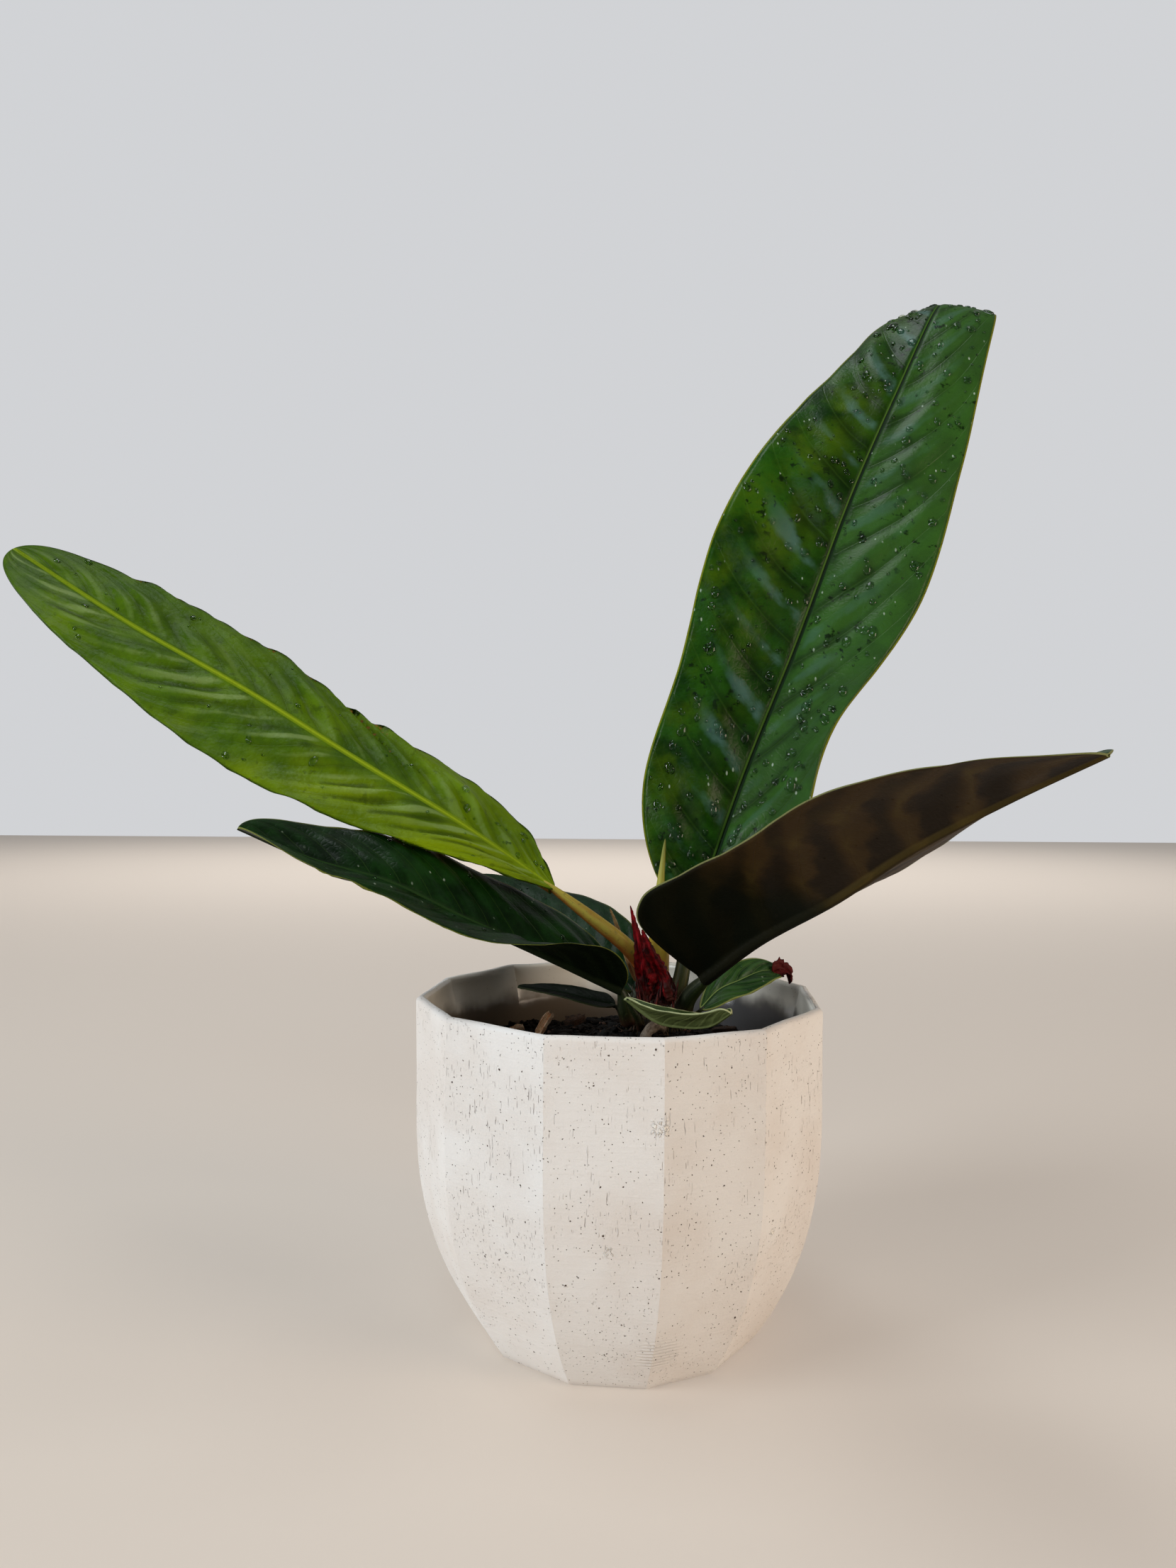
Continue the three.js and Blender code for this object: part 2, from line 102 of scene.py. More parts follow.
world = bpy.data.worlds.new("studio_air")
world.use_nodes = True
air = world.node_tree.nodes
direction = air.new("ShaderNodeSeparateXYZ")
behind = air.new("ShaderNodeMapRange")
behind.inputs["From Min"].default_value, behind.inputs["From Max"].default_value = AIR_CHANGE
air_mix, seen_mix = air.new("ShaderNodeMix"), air.new("ShaderNodeMix")
for mixer, first, second in ((air_mix, AIR_IN_FRONT, AIR_BEHIND),
                             (seen_mix, AIR_BEHIND, BACKDROP_COLOUR)):
    mixer.data_type = "RGBA"
    mixer.inputs[6].default_value = first
    mixer.inputs[7].default_value = second
for output, socket in (
        (air.new("ShaderNodeTexCoord").outputs["Generated"], direction.inputs[0]),
        (direction.outputs["Y"], behind.inputs["Value"]),
        (behind.outputs["Result"], air_mix.inputs[0]),
        (air_mix.outputs[2], seen_mix.inputs[6]),
        (air.new("ShaderNodeLightPath").outputs["Is Camera Ray"], seen_mix.inputs[0]),
        (seen_mix.outputs[2], air["Background"].inputs["Color"])):
    world.node_tree.links.new(output, socket)
bpy.context.scene.world = world
bpy.context.scene.view_settings.view_transform = "Standard"

floor_mesh = bmesh.new()
bmesh.ops.create_grid(floor_mesh, x_segments=1, y_segments=1, size=FLOOR_SIZE / 2)
floor_data = bpy.data.meshes.new("studio_floor")
floor_mesh.to_mesh(floor_data)
floor_mesh.free()
floor_paint = bpy.data.materials.new("studio_floor")
floor_paint.use_nodes = True
floor_shader = floor_paint.node_tree.nodes["Principled BSDF"]
for socket, value in (("Base Color", FLOOR_COLOUR), ("Roughness", FLOOR_ROUGHNESS),
                      ("Emission Color", GLOW_COLOUR), ("Emission Strength", FLOOR_GLOW)):
    floor_shader.inputs[socket].default_value = value
floor_data.materials.append(floor_paint)
studio_floor = shown("studio_floor", floor_data)


# Pot
# Thrown stoneware with a white slip, cut by hand into twelve flat facets of uneven width.
# The inside is round and glazed, and the glaze runs a little way over the thin lip.
MM = 0.001
MERGE_DISTANCE = 1e-6
POT_HEIGHT = 147
POT_CORNER_RADIUS = 91
POT_BASE_RADIUS = 61
POT_CORNERS = [-82, -52, -20, 9, 37, 69, 102, 134, 165, 190, 217, 248, 278]
POT_FACET_COLUMNS = 26
CORNER_CROWDING = 0.92
POT_SHOULDER_HEIGHT = 0.72
POT_SHOULDER_CURVE = 2.6
POT_WALL_START = 0.9
POT_WALL_ROWS = 44
LIP_RADIUS = 2.2
CAVITY_RADIUS = 82
CAVITY_DRAW = 32
CAVITY_CURVE = 2.4
CAVITY_CURVE_TOP = 104
CAVITY_HEIGHTS = [126, 120, 112, 100, 76, 56, 40, 28, 18]
POT_FLOOR = 9
# Stretches of the profile: radius, height, share of the facets and share of glaze.
FOOT_PROFILE = [(0, 0.6, 0, 0), (40, 0.6, 1, 0), (55, 0.5, 1, 0), (58, 0, 1, 0), (59.4, 0, 1, 0)]
INNER_LIP_PROFILE = [(POT_CORNER_RADIUS - 2 * LIP_RADIUS, 143.5, 0.9, 0.7),
                     (85.6, 140, 0.6, 0.85), (84.5, 136, 0.35, 1), (83.3, 131, 0.15, 1)]
FLOOR_PROFILE = [(44, POT_FLOOR + 1.5, 0, 1), (34, POT_FLOOR, 0, 1), (0, POT_FLOOR, 0, 1)]
# How far the wall wanders by the potter's hand and by the slip, and the lip up and down.
HAND_WANDER = 0.45
SLIP_WANDER = 0.1
LIP_WANDER = 0.5
LIP_WANDERS_ABOVE = 140
# Iron specks: how many in a metre, their size as a share of the gap, the share left out.
SPECKS = [(700, 0.17, 0.55), (360, 0.13, 0.74), (150, 0.08, 0.72)]
# Place and size of each mark left in the slip, of a patch of fine carved ridges, and of the
# shaded side of the glaze.
POT_SCARS = [((13, -89, 114), 5), ((59, -62, 64), 2.5), ((-6, -86, 66), 3), ((-72, 52, 80), 4)]
CARVED_RIDGES = ((15, -74, 19), 12)
SHADED_GLAZE = ((-72, -22, 122), 46)


class Value:
    """A number, colour or vector that changes over a surface: one output of a finish's nodes."""

    def __init__(self, finish, socket):
        self.finish = finish
        self.socket = socket

    def count(self, operation, *operands):
        return self.finish.node("ShaderNodeMath", {"operation": operation},
                                dict(enumerate(operands)))

    def __add__(self, other):
        return self.count("ADD", self, other)

    def __sub__(self, other):
        return self.count("SUBTRACT", self, other)

    def __rsub__(self, other):
        return self.count("SUBTRACT", other, self)

    def __mul__(self, other):
        return self.count("MULTIPLY", self, other)

    def __truediv__(self, other):
        return self.count("DIVIDE", self, other)

    def __pow__(self, other):
        return self.count("POWER", self, other)

    def __abs__(self):
        return self.count("ABSOLUTE", self)

    __radd__ = __add__
    __rmul__ = __mul__

    def sine(self):
        return self.count("SINE", self)

    def above(self, other):
        return self.count("GREATER_THAN", self, other)

    def ramp(self, low, high):
        """0 at low, 1 at high, and a soft run between them. low may be the larger one."""
        return self.finish.node("ShaderNodeMapRange", {"interpolation_type": "SMOOTHSTEP"},
                                {"Value": self, "From Min": low, "From Max": high})


class Finish:
    """A material with one Principled shader, and the ways to make what changes over it."""

    def __init__(self, name, **settings):
        self.material = bpy.data.materials.new(name)
        self.material.use_nodes = True
        self.tree = self.material.node_tree
        self.shader = self.tree.nodes["Principled BSDF"]
        self.set(**settings)

    def set(self, **settings):
        """Sets the shader's sockets. Base_Color means the socket Base Color."""
        for name, value in settings.items():
            self.join(self.shader.inputs[name.replace("_", " ")], value)

    def join(self, socket, value):
        if isinstance(value, Value):
            self.tree.links.new(value.socket, socket)
        else:
            socket.default_value = value

    def node(self, kind, settings=None, inputs=None, output=0):
        made = self.tree.nodes.new(kind)
        for name, value in (settings or {}).items():
            setattr(made, name, value)
        for name, value in (inputs or {}).items():
            self.join(made.inputs[name], value)
        return Value(self, made.outputs[output])

    def place(self):
        return self.node("ShaderNodeTexCoord", output="Object")

    def skin(self):
        """The shares of the way around a skin and along it."""
        return self.parts(self.node("ShaderNodeUVMap", {"uv_map": "Skin"}))[:2]

    def scaled(self, vector, x, y, z):
        return self.node("ShaderNodeVectorMath", {"operation": "MULTIPLY"},
                         {0: vector, 1: (x, y, z)})

    def moved(self, vector, other):
        return self.node("ShaderNodeVectorMath", {"operation": "ADD"}, {0: vector, 1: other})

    def near(self, vector, point, reach):
        """1 close to a point given in millimetres, and 0 beyond reach."""
        distance = self.node("ShaderNodeVectorMath", {"operation": "DISTANCE"},
                             {0: vector, 1: Vector(point) * MM}, 1)
        return distance.ramp(reach * MM, reach * MM * 0.4)

    def parts(self, vector):
        node = self.node("ShaderNodeSeparateXYZ", inputs={0: vector}).socket.node
        return [Value(self, socket) for socket in node.outputs]

    def vector(self, x, y, z=0.0):
        return self.node("ShaderNodeCombineXYZ", inputs={0: x, 1: y, 2: z})

    def clouds(self, vector, scale, detail=3.0, roughness=0.55, output=0):
        return self.node("ShaderNodeTexNoise", None, {"Vector": vector, "Scale": scale,
                         "Detail": detail, "Roughness": roughness}, output)

    def cells(self, vector, scale, output="Distance", feature="F1"):
        return self.node("ShaderNodeTexVoronoi", {"feature": feature},
                         {"Vector": vector, "Scale": scale}, output)

    def scatter(self, vector, scale):
        """The distance to the nearest of many scattered points, and that point's luck."""
        return self.cells(vector, scale), self.parts(self.cells(vector, scale, "Color"))[0]

    def layer(self, name):
        return self.node("ShaderNodeAttribute", {"attribute_name": name}, output="Fac")

    def washed(self, ground, *washes):
        """A colour under washes, each a mask and the colour that it brings."""
        colour = paint(ground)
        for mask, tint in washes:
            colour = self.node("ShaderNodeMix", {"data_type": "RGBA"},
                               {0: mask, 6: colour, 7: paint(tint)}, 2)
        return colour

    def surface(self, colour, roughness, height, distance, strength=0.9):
        """What the shader takes from the nodes. height is the relief, times a distance."""
        bump = self.node("ShaderNodeBump", None,
                         {"Height": height, "Distance": distance, "Strength": strength})
        self.set(Base_Color=colour, Roughness=roughness, Normal=bump)


def paint(colour):
    """A colour given as it looks on a screen, 0 to 255, as the shader wants it. One that
    comes from nodes is passed on."""
    if isinstance(colour, Value):
        return colour
    return tuple((c / 255 / 12.92) if c <= 10 else ((c / 255 + 0.055) / 1.055) ** 2.4
                 for c in colour) + (1.0,)


def thrown(profile, steps):
    """A skin spun from a profile of radii and heights. Its layer numbers the profile's points."""
    mesh = bmesh.new()
    numbers = mesh.verts.layers.int.new("profile")
    line = []
    for number, (radius, height, *_) in enumerate(profile):
        line.append(mesh.verts.new((radius, 0, height)))
        line[-1][numbers] = number
    line += [mesh.edges.new(pair) for pair in zip(line, line[1:])]
    bmesh.ops.spin(mesh, geom=line, cent=(0, 0, 0), axis=(0, 0, 1), angle=2 * math.pi,
                   steps=steps, use_merge=True)
    return mesh, numbers


def close(mesh):
    """Joins the points that meet and turns the faces outwards."""
    bmesh.ops.remove_doubles(mesh, verts=mesh.verts, dist=MERGE_DISTANCE)
    bmesh.ops.recalc_face_normals(mesh, faces=mesh.faces)


def piece_from(mesh, name, finish):
    """Makes a bmesh into an object with smooth faces and one finish."""
    data = bpy.data.meshes.new(name)
    mesh.to_mesh(data)
    mesh.free()
    data.materials.append(finish.material)
    data.polygons.foreach_set("use_smooth", [True] * len(data.polygons))
    return shown(name, data)


def pot_outer_radius(height):
    share = min(height / POT_HEIGHT / POT_SHOULDER_HEIGHT, 1)
    shoulder = 1 - (1 - share) ** POT_SHOULDER_CURVE
    return POT_BASE_RADIUS + (POT_CORNER_RADIUS - POT_BASE_RADIUS) * shoulder


def pot_profile():
    """From the base's centre up the outside, over the lip, down the inside and back to the
    axis."""
    points = list(FOOT_PROFILE)
    wall = POT_HEIGHT - LIP_RADIUS - POT_WALL_START
    for row in range(POT_WALL_ROWS + 1):
        height = POT_WALL_START + wall * row / POT_WALL_ROWS
        points.append((pot_outer_radius(height), height, 1, 0.06 * row / POT_WALL_ROWS))
    for degrees in range(15, 180, 15):
        angle = math.radians(degrees)
        radius = POT_CORNER_RADIUS - LIP_RADIUS * (1 - math.cos(angle))
        height = POT_HEIGHT - LIP_RADIUS * (1 - math.sin(angle))
        points.append((radius, height, 1, 0.1 + 0.5 * degrees / 180))
    points += INNER_LIP_PROFILE
    for height in CAVITY_HEIGHTS:
        depth = max(0, (CAVITY_CURVE_TOP - height) / (CAVITY_CURVE_TOP - POT_FLOOR))
        points.append((CAVITY_RADIUS - CAVITY_DRAW * depth ** CAVITY_CURVE, height, 0, 1))
    return points + FLOOR_PROFILE


def facet_place(column):
    """The true angle of a column, closer together towards the corners, and how far out
    the flat facet lies there as a share of the corner's radius."""
    facet, step = divmod(column, POT_FACET_COLUMNS)
    start, end = POT_CORNERS[facet], POT_CORNERS[facet + 1]
    share = step / POT_FACET_COLUMNS
    share -= CORNER_CROWDING * math.sin(2 * math.pi * share) / (2 * math.pi)
    half = math.radians(end - start) / 2
    from_middle = (share - 0.5) * 2 * half
    flat = math.cos(half) / math.cos(from_middle)
    return math.radians(start) + half + from_middle, flat


profile = pot_profile()
pot_columns = POT_FACET_COLUMNS * (len(POT_CORNERS) - 1)
pot_mesh, profile_layer = thrown(profile, pot_columns)
glaze_layer = pot_mesh.verts.layers.float.new("glaze")
for vertex in pot_mesh.verts:
    radius, height, follow, glaze = profile[vertex[profile_layer]]
    turn = math.atan2(vertex.co.y, vertex.co.x) % (2 * math.pi)
    angle, flat = facet_place(round(turn / (2 * math.pi) * pot_columns) % pot_columns)
    reach = radius * (1 + follow * (flat - 1))
    hand = noise.noise(Vector((math.sin(angle) * 3, math.cos(angle) * 3, height / 60)))
    fine = noise.noise(Vector((math.sin(angle) * 11, math.cos(angle) * 11, height / 9)))
    if radius > 0 and height > 1:
        reach += HAND_WANDER * hand + SLIP_WANDER * fine
    if height > LIP_WANDERS_ABOVE:
        lip = noise.noise(Vector((math.sin(angle) * 4, math.cos(angle) * 4, 7)))
        height += LIP_WANDER * lip
    vertex[glaze_layer] = glaze
    vertex.co = Vector((reach * math.sin(angle), -reach * math.cos(angle), height)) * MM
close(pot_mesh)

stoneware = Finish("white_stoneware", Specular_IOR_Level=0.4)
spot = stoneware.place()
uneven = stoneware.moved(spot, stoneware.scaled(
    stoneware.clouds(spot, 700, 1, output="Color"), 0.0011, 0.0011, 0.0011))
wander = stoneware.clouds(spot, 90, 2) - 0.5
glazed = (stoneware.layer("glaze") + wander * 0.2).ramp(0.34, 0.42)
specks = 0.0
for closeness, radius, left_out in SPECKS:
    distance, luck = stoneware.scatter(uneven, closeness)
    specks = specks + distance.ramp(radius, radius * 0.55) * luck.above(left_out)
    halo = distance.ramp(radius * 2.2, radius) * luck.above(left_out)
drag = stoneware.clouds(stoneware.scaled(spot, 1300, 1300, 130), 1.0, 2)
worn = stoneware.clouds(spot, 45, 2).ramp(0.42, 0.6)
dark_drag, light_drag = drag.ramp(0.68, 0.75) * worn, drag.ramp(0.33, 0.26) * worn
scars = 0.0
for mark, size in POT_SCARS:
    scars = scars + stoneware.near(spot, mark, size) * stoneware.clouds(spot, 620, 2).ramp(0.5, 0.6)
cloudy = stoneware.clouds(spot, 22, 4)
bands = stoneware.clouds(stoneware.scaled(spot, 26, 26, 760), 1.0, 2)
slip = stoneware.washed(
    (236, 234, 231), (cloudy.ramp(0.35, 0.7), (228, 222, 216)),
    (bands.ramp(0.6, 0.8) * 0.1, (214, 202, 192)), (dark_drag * 0.45, (170, 152, 138)),
    (specks, (76, 58, 46)), (scars * 0.7, (250, 245, 234)))
height_mm = stoneware.parts(spot)[2] * 1000
# Inside the pot the glaze is painted darker from about a centimetre below the lip downwards, a
# painted shade of the deep inside. There it also takes a painted grey reflection on the right side
# and a painted shadow on the left.
painted_deep_shade = (height_mm + (cloudy - 0.5) * 16 + wander * 5).ramp(137, 128)
painted_grey_reflection = stoneware.parts(spot)[0].ramp(0.01, 0.05) * painted_deep_shade
shaded = stoneware.near(spot, *SHADED_GLAZE) * painted_deep_shade
glaze_colour = stoneware.washed(
    (232, 229, 218), (painted_deep_shade, (112, 101, 88)), (painted_grey_reflection * 0.9, (98, 98, 100)),
    (shaded * 0.75, (58, 46, 36)), (specks * 0.35, (110, 98, 84)))
grain = stoneware.clouds(spot, 850, 3, 0.65)
ridges = (height_mm * 3.9).sine() * stoneware.near(spot, *CARVED_RIDGES)
hollows = (grain * 0.6 - specks * 1.2 + halo * 0.4 - dark_drag * 2.6 + light_drag * 1.8
           + bands * 0.6 + ridges * 0.6 + scars * 2.6) * (1 - glazed)
wavy_glaze = stoneware.clouds(spot, 26, 2) * glazed * 5.0
stoneware.surface(stoneware.washed(slip, (glazed, glaze_colour)),
                  0.84 - 0.74 * glazed + 0.06 * cloudy, hollows + wavy_glaze, 0.00035)

faceted_pot = piece_from(pot_mesh, "faceted_pot", stoneware)
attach(faceted_pot, "root")
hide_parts("pot")


# Potting mix
# Dark bark, fibre and crumbs fill the pot to about 25 mm below the lip, with a mound round
# the crown. A dark bed closes it below, and loose crumbs, bits of bark and threads lie on it.
MIX_LEVEL = 118
MIX_MOUND = 14
MOUND_SPREAD = 30
MIX_RADIUS = 81.4
MIX_SKIRT = 102
MIX_RINGS = 54
MIX_COLUMNS = 150
CROWN = (15, 2)
MIX_LUMPS = 1.5
MIX_GRIT = 0.9
CRUMBS = 2300
BARK_BITS = 260
BARK_BIT_CORNERS = 13
THREADS = 150
THREAD_STEPS = 4
LOOSE_TILT = 0.6
LOOSE_REACH = 79
# Small shapes are made in batches, because an operator takes longer in a large mesh.
BATCH = 40


def mix_height(x, y):
    mound = math.exp(-((x - CROWN[0]) ** 2 + (y - CROWN[1]) ** 2) / MOUND_SPREAD ** 2)
    return MIX_LEVEL + MIX_MOUND * mound + 1.2 * math.sin(x / 9 + 1) * math.cos(y / 11)


def smooth(values, place):
    """A smooth run through evenly spaced numbers or points, for a place between 0 and 1."""
    last = len(values) - 1
    i = min(int(place * last), last - 1)
    t = place * last - i
    step = values[i + 1] - values[i]
    slope_in = step if i == 0 else (values[i + 1] - values[i - 1]) / 2
    slope_out = step if i == last - 1 else (values[i + 2] - values[i]) / 2
    return (values[i] + slope_in * t + (3 * step - 2 * slope_in - slope_out) * (t * t)
            + (slope_in + slope_out - 2 * step) * t ** 3)


def frames_along(path, face, places):
    """Centre, direction and normal at each place. A normal is the last one's, kept square."""
    path = [Vector(point) for point in path]
    near = 0.002
    frames = []
    for place in places:
        along = smooth(path, min(place + near, 1)) - smooth(path, max(place - near, 0))
        frames.append([smooth(path, place), along.normalized(), None])
    middle = len(frames) // 2
    order = [(i, i - 1) for i in range(middle + 1, len(frames))]
    order += [(i, i + 1) for i in range(middle - 1, -1, -1)]
    up = Vector(face)
    for i, before in [(middle, None)] + order:
        up = up if before is None else frames[before][2]
        frames[i][2] = (up - frames[i][1] * up.dot(frames[i][1])).normalized()
    return frames


def length_of(frames):
    return sum((after[0] - before[0]).length for before, after in zip(frames, frames[1:]))


def bent_grid(columns, rows, place, layers=()):
    """A grid bent into a closed skin. place gives, for across and along from 0 to 1, a point
    in millimetres, then a value for each layer."""
    mesh = bmesh.new()
    mesh.loops.layers.uv.new("Skin")
    bmesh.ops.create_grid(mesh, x_segments=columns, y_segments=rows, size=0.5, calc_uvs=True)
    stores = [mesh.verts.layers.float.new(layer) for layer in layers]
    for vertex in mesh.verts:
        point, *values = place(vertex.co.x + 0.5, vertex.co.y + 0.5)
        vertex.co = point * MM
        for store, value in zip(stores, values):
            vertex[store] = value
    close(mesh)
    return mesh


def tube(path, widths, rows, sides, shape=None):
    """A closed round skin along a path. shape gives the share of the width at an angle and
    a place."""
    places = [row / rows for row in range(rows + 1)]
    frames = frames_along(path, (0, 1, 0.1), places)
    length = length_of(frames)
    cap = max(max(widths) / length, 0.5 / rows)

    def place(around, along):
        centre, forward, up = frames[round(along * rows)]
        end = min(min(along, 1 - along) / cap, 1)
        radius = smooth(widths, along) * math.sqrt(1 - (1 - end) ** 2)
        angle = 2 * math.pi * around
        if shape:
            radius *= shape(angle, along)
        outwards = up * math.cos(angle) + forward.cross(up) * math.sin(angle)
        return centre + outwards * radius, along * length

    return bent_grid(sides, rows, place, ("along",))


def joined(parts):
    """Several meshes as one."""
    whole = bmesh.new()
    for part in parts:
        data = bpy.data.meshes.new("part")
        part.to_mesh(data)
        part.free()
        whole.from_mesh(data)
        bpy.data.meshes.remove(data)
    return whole


bed_profile = [(MIX_RADIUS * ring / MIX_RINGS, MIX_LEVEL) for ring in range(MIX_RINGS + 1)]
bed_mesh, _ = thrown(bed_profile + [(MIX_RADIUS - 1.5, MIX_SKIRT), (0, MIX_SKIRT)], MIX_COLUMNS)
for vertex in bed_mesh.verts:
    x, y, height = vertex.co
    if height > MIX_SKIRT:
        lumps = MIX_LUMPS * noise.noise(vertex.co / 4.1) + MIX_GRIT * noise.noise(vertex.co / 1.7)
        height = mix_height(x, y) + lumps - 0.5
    vertex.co = Vector((x, y, height)) * MM
close(bed_mesh)


def mix_finish(name, dark, brown, rosy, toned):
    """toned takes the tone of each crumb from its layer."""
    finish = Finish(name, Specular_IOR_Level=0.3)
    spot = finish.place()
    fibres = finish.clouds(finish.scaled(spot, 300, 900, 1500), 1.0, 4, 0.6)
    grit = finish.clouds(spot, 900, 3, 0.6)
    tone = finish.layer("tone") if toned else finish.clouds(spot, 330, 2)
    colour = finish.washed(dark, ((tone * 0.7 + grit * 0.4).ramp(0.35, 0.95), brown),
                           (tone.ramp(0.86, 0.97) * (0.4 + 0.6 * fibres), rosy))
    finish.surface(colour, 0.78 + 0.2 * grit, fibres + grit * 0.6, 0.0006)
    return finish


mix_bed = piece_from(bed_mesh, "mix_bed", mix_finish(
    "mix_bed", (5, 4, 3), (22, 16, 12), (44, 32, 26), False))
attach(mix_bed, "root")
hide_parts("potting_mix")

dice = random.Random(11)


def spot_on_mix(edge=LOOSE_REACH):
    turn, radius = dice.uniform(0, 2 * math.pi), edge * math.sqrt(dice.random())
    x, y = radius * math.cos(turn), radius * math.sin(turn)
    return x, y, mix_height(x, y)


def any_turn():
    return (Matrix.Rotation(dice.uniform(0, 2 * math.pi), 4, "Z")
            @ Matrix.Rotation(dice.uniform(-LOOSE_TILT, LOOSE_TILT), 4, "X")
            @ Matrix.Rotation(dice.uniform(-LOOSE_TILT, LOOSE_TILT), 4, "Y"))


def scattered(count, add, layers=()):
    """Many small shapes as one mesh. add puts one shape into a mesh, with its layers."""
    batches = []
    for number in range(count):
        if number % BATCH == 0:
            batches.append(bmesh.new())
            stores = [batches[-1].verts.layers.float.new(layer) for layer in layers]
        add(batches[-1], *stores)
    return joined(batches)


def add_crumb(mesh, tone_layer):
    size = 0.9 + 2.4 * dice.random() ** 2.2
    x, y, height = spot_on_mix()
    stretch = Matrix.Diagonal((size * dice.uniform(0.8, 1.9), size, size * 0.7, 1))
    lie = Matrix.Translation(Vector((x, y, height + 0.2 * size)) * MM) @ any_turn() @ stretch
    crumb = bmesh.ops.create_icosphere(mesh, subdivisions=1, radius=0.5 * MM, matrix=lie)
    tone = dice.random()
    for vertex in crumb["verts"]:
        vertex.co += Vector([dice.uniform(-0.14, 0.14) * size * MM for _ in range(3)])
        vertex[tone_layer] = tone


def add_bark_bit(mesh, tone_layer):
    length = 3.5 + 7 * dice.random() ** 1.8
    size = Vector((length, length * dice.uniform(0.35, 0.8), length * dice.uniform(0.2, 0.45)))
    x, y, height = spot_on_mix(76)
    lie = Matrix.Translation((x, y, height + 0.35 * size.z)) @ any_turn()
    tone = dice.random() * 0.9
    corners = []
    for _ in range(BARK_BIT_CORNERS):
        corner = Vector([dice.uniform(-1, 1) for _ in range(3)])
        corner = corner / max(abs(part) for part in corner) * dice.uniform(0.8, 1)
        corners.append(mesh.verts.new(lie @ (corner * size / 2) * MM))
        corners[-1][tone_layer] = tone
    hull = bmesh.ops.convex_hull(mesh, input=corners)
    bmesh.ops.delete(mesh, geom=hull["geom_interior"], context="VERTS")


mix_crumbs = piece_from(scattered(CRUMBS, add_crumb, ["tone"]), "mix_crumbs", mix_finish(
    "mix_crumbs", (4, 3, 2), (24, 16, 12), (104, 76, 62), True))

bit_mesh = scattered(BARK_BITS, add_bark_bit, ["tone"])
bmesh.ops.recalc_face_normals(bit_mesh, faces=bit_mesh.faces)
bark_bits = piece_from(bit_mesh, "mix_bark_bits", mix_finish(
    "mix_bark_bits", (5, 3, 2), (30, 20, 15), (112, 80, 62), True))

threads = []
for _ in range(THREADS):
    x, y, height = spot_on_mix(75)
    heading, bend = dice.uniform(0, 2 * math.pi), dice.uniform(-0.7, 0.7)
    length = dice.uniform(6, 17)
    path = []
    for _ in range(THREAD_STEPS + 1):
        path.append((x, y, max(height, mix_height(x, y)) + dice.uniform(0.3, 1.9)))
        x += length / THREAD_STEPS * math.cos(heading)
        y += length / THREAD_STEPS * math.sin(heading)
        heading += bend
    if math.hypot(x, y) < LOOSE_REACH:
        girth = dice.uniform(0.14, 0.32)
        threads.append(tube(path, [girth, girth, girth * 0.9, girth * 0.5], rows=10, sides=5))
mix_threads = piece_from(joined(threads), "mix_threads", mix_finish(
    "mix_threads", (24, 17, 12), (74, 54, 38), (140, 112, 88), False))
for made in (mix_crumbs, bark_bits, mix_threads):
    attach(made, "root")


# Loose bark
# Flat flakes of pine bark and one curled papery scrap lie on the mix. Each split along its
# layers, so its face is smooth and its edges are ragged.
CHIP_CUTS = 9
CHIP_NARROWING = 0.45
CHIP_RAGGED_SIDES = 0.3
CHIP_RAGGED_ENDS = 0.12
CHIP_BOW = 0.06
CHIP_SINK = 0.4
# Length, width, thickness, place on the mix, turn and tilt, how far the sides curl up.
CHIPS = {
    "bark_chip_curled": ((17, 6, 2.2), (-35, 30), 62, 34, 2.4),
    "bark_chip_pale_1": ((11, 7, 2), (-51, 41), 15, 17, 0.5),
    "bark_chip_pale_2": ((9, 6, 2.4), (-60, 26), -35, 16, 0.4),
    "bark_chip_dark_1": ((10, 8, 4), (-21, 62), 40, 12, 0),
    "bark_chip_dark_2": ((12, 7, 3), (52, 38), -20, 8, 0.2),
    "bark_chip_dark_3": ((9, 7, 3), (-40, -42), 75, 7, 0),
    "bark_chip_front": ((13, 8, 3), (22, -60), 10, 6, 0.2),
}


def chip_finish(name, dark, light, cracks):
    finish = Finish(name, Specular_IOR_Level=0.3)
    grain = finish.vector(finish.layer("lengthwise") * 0.16, finish.layer("crosswise") * 0.9,
                          finish.layer("deep") * 2.4)
    layers = finish.clouds(grain, 1.0, 4, 0.65)
    grit = finish.clouds(finish.place(), 1100, 2)
    colour = finish.washed(dark, ((layers + 0.3 * grit - 0.15).ramp(0.34, 0.64), light),
                           (finish.clouds(grain, 2.3, 2).ramp(0.60, 0.72), cracks))
    finish.surface(colour, 0.72 + 0.2 * grit, layers + 0.3 * grit, 0.0007)
    return finish


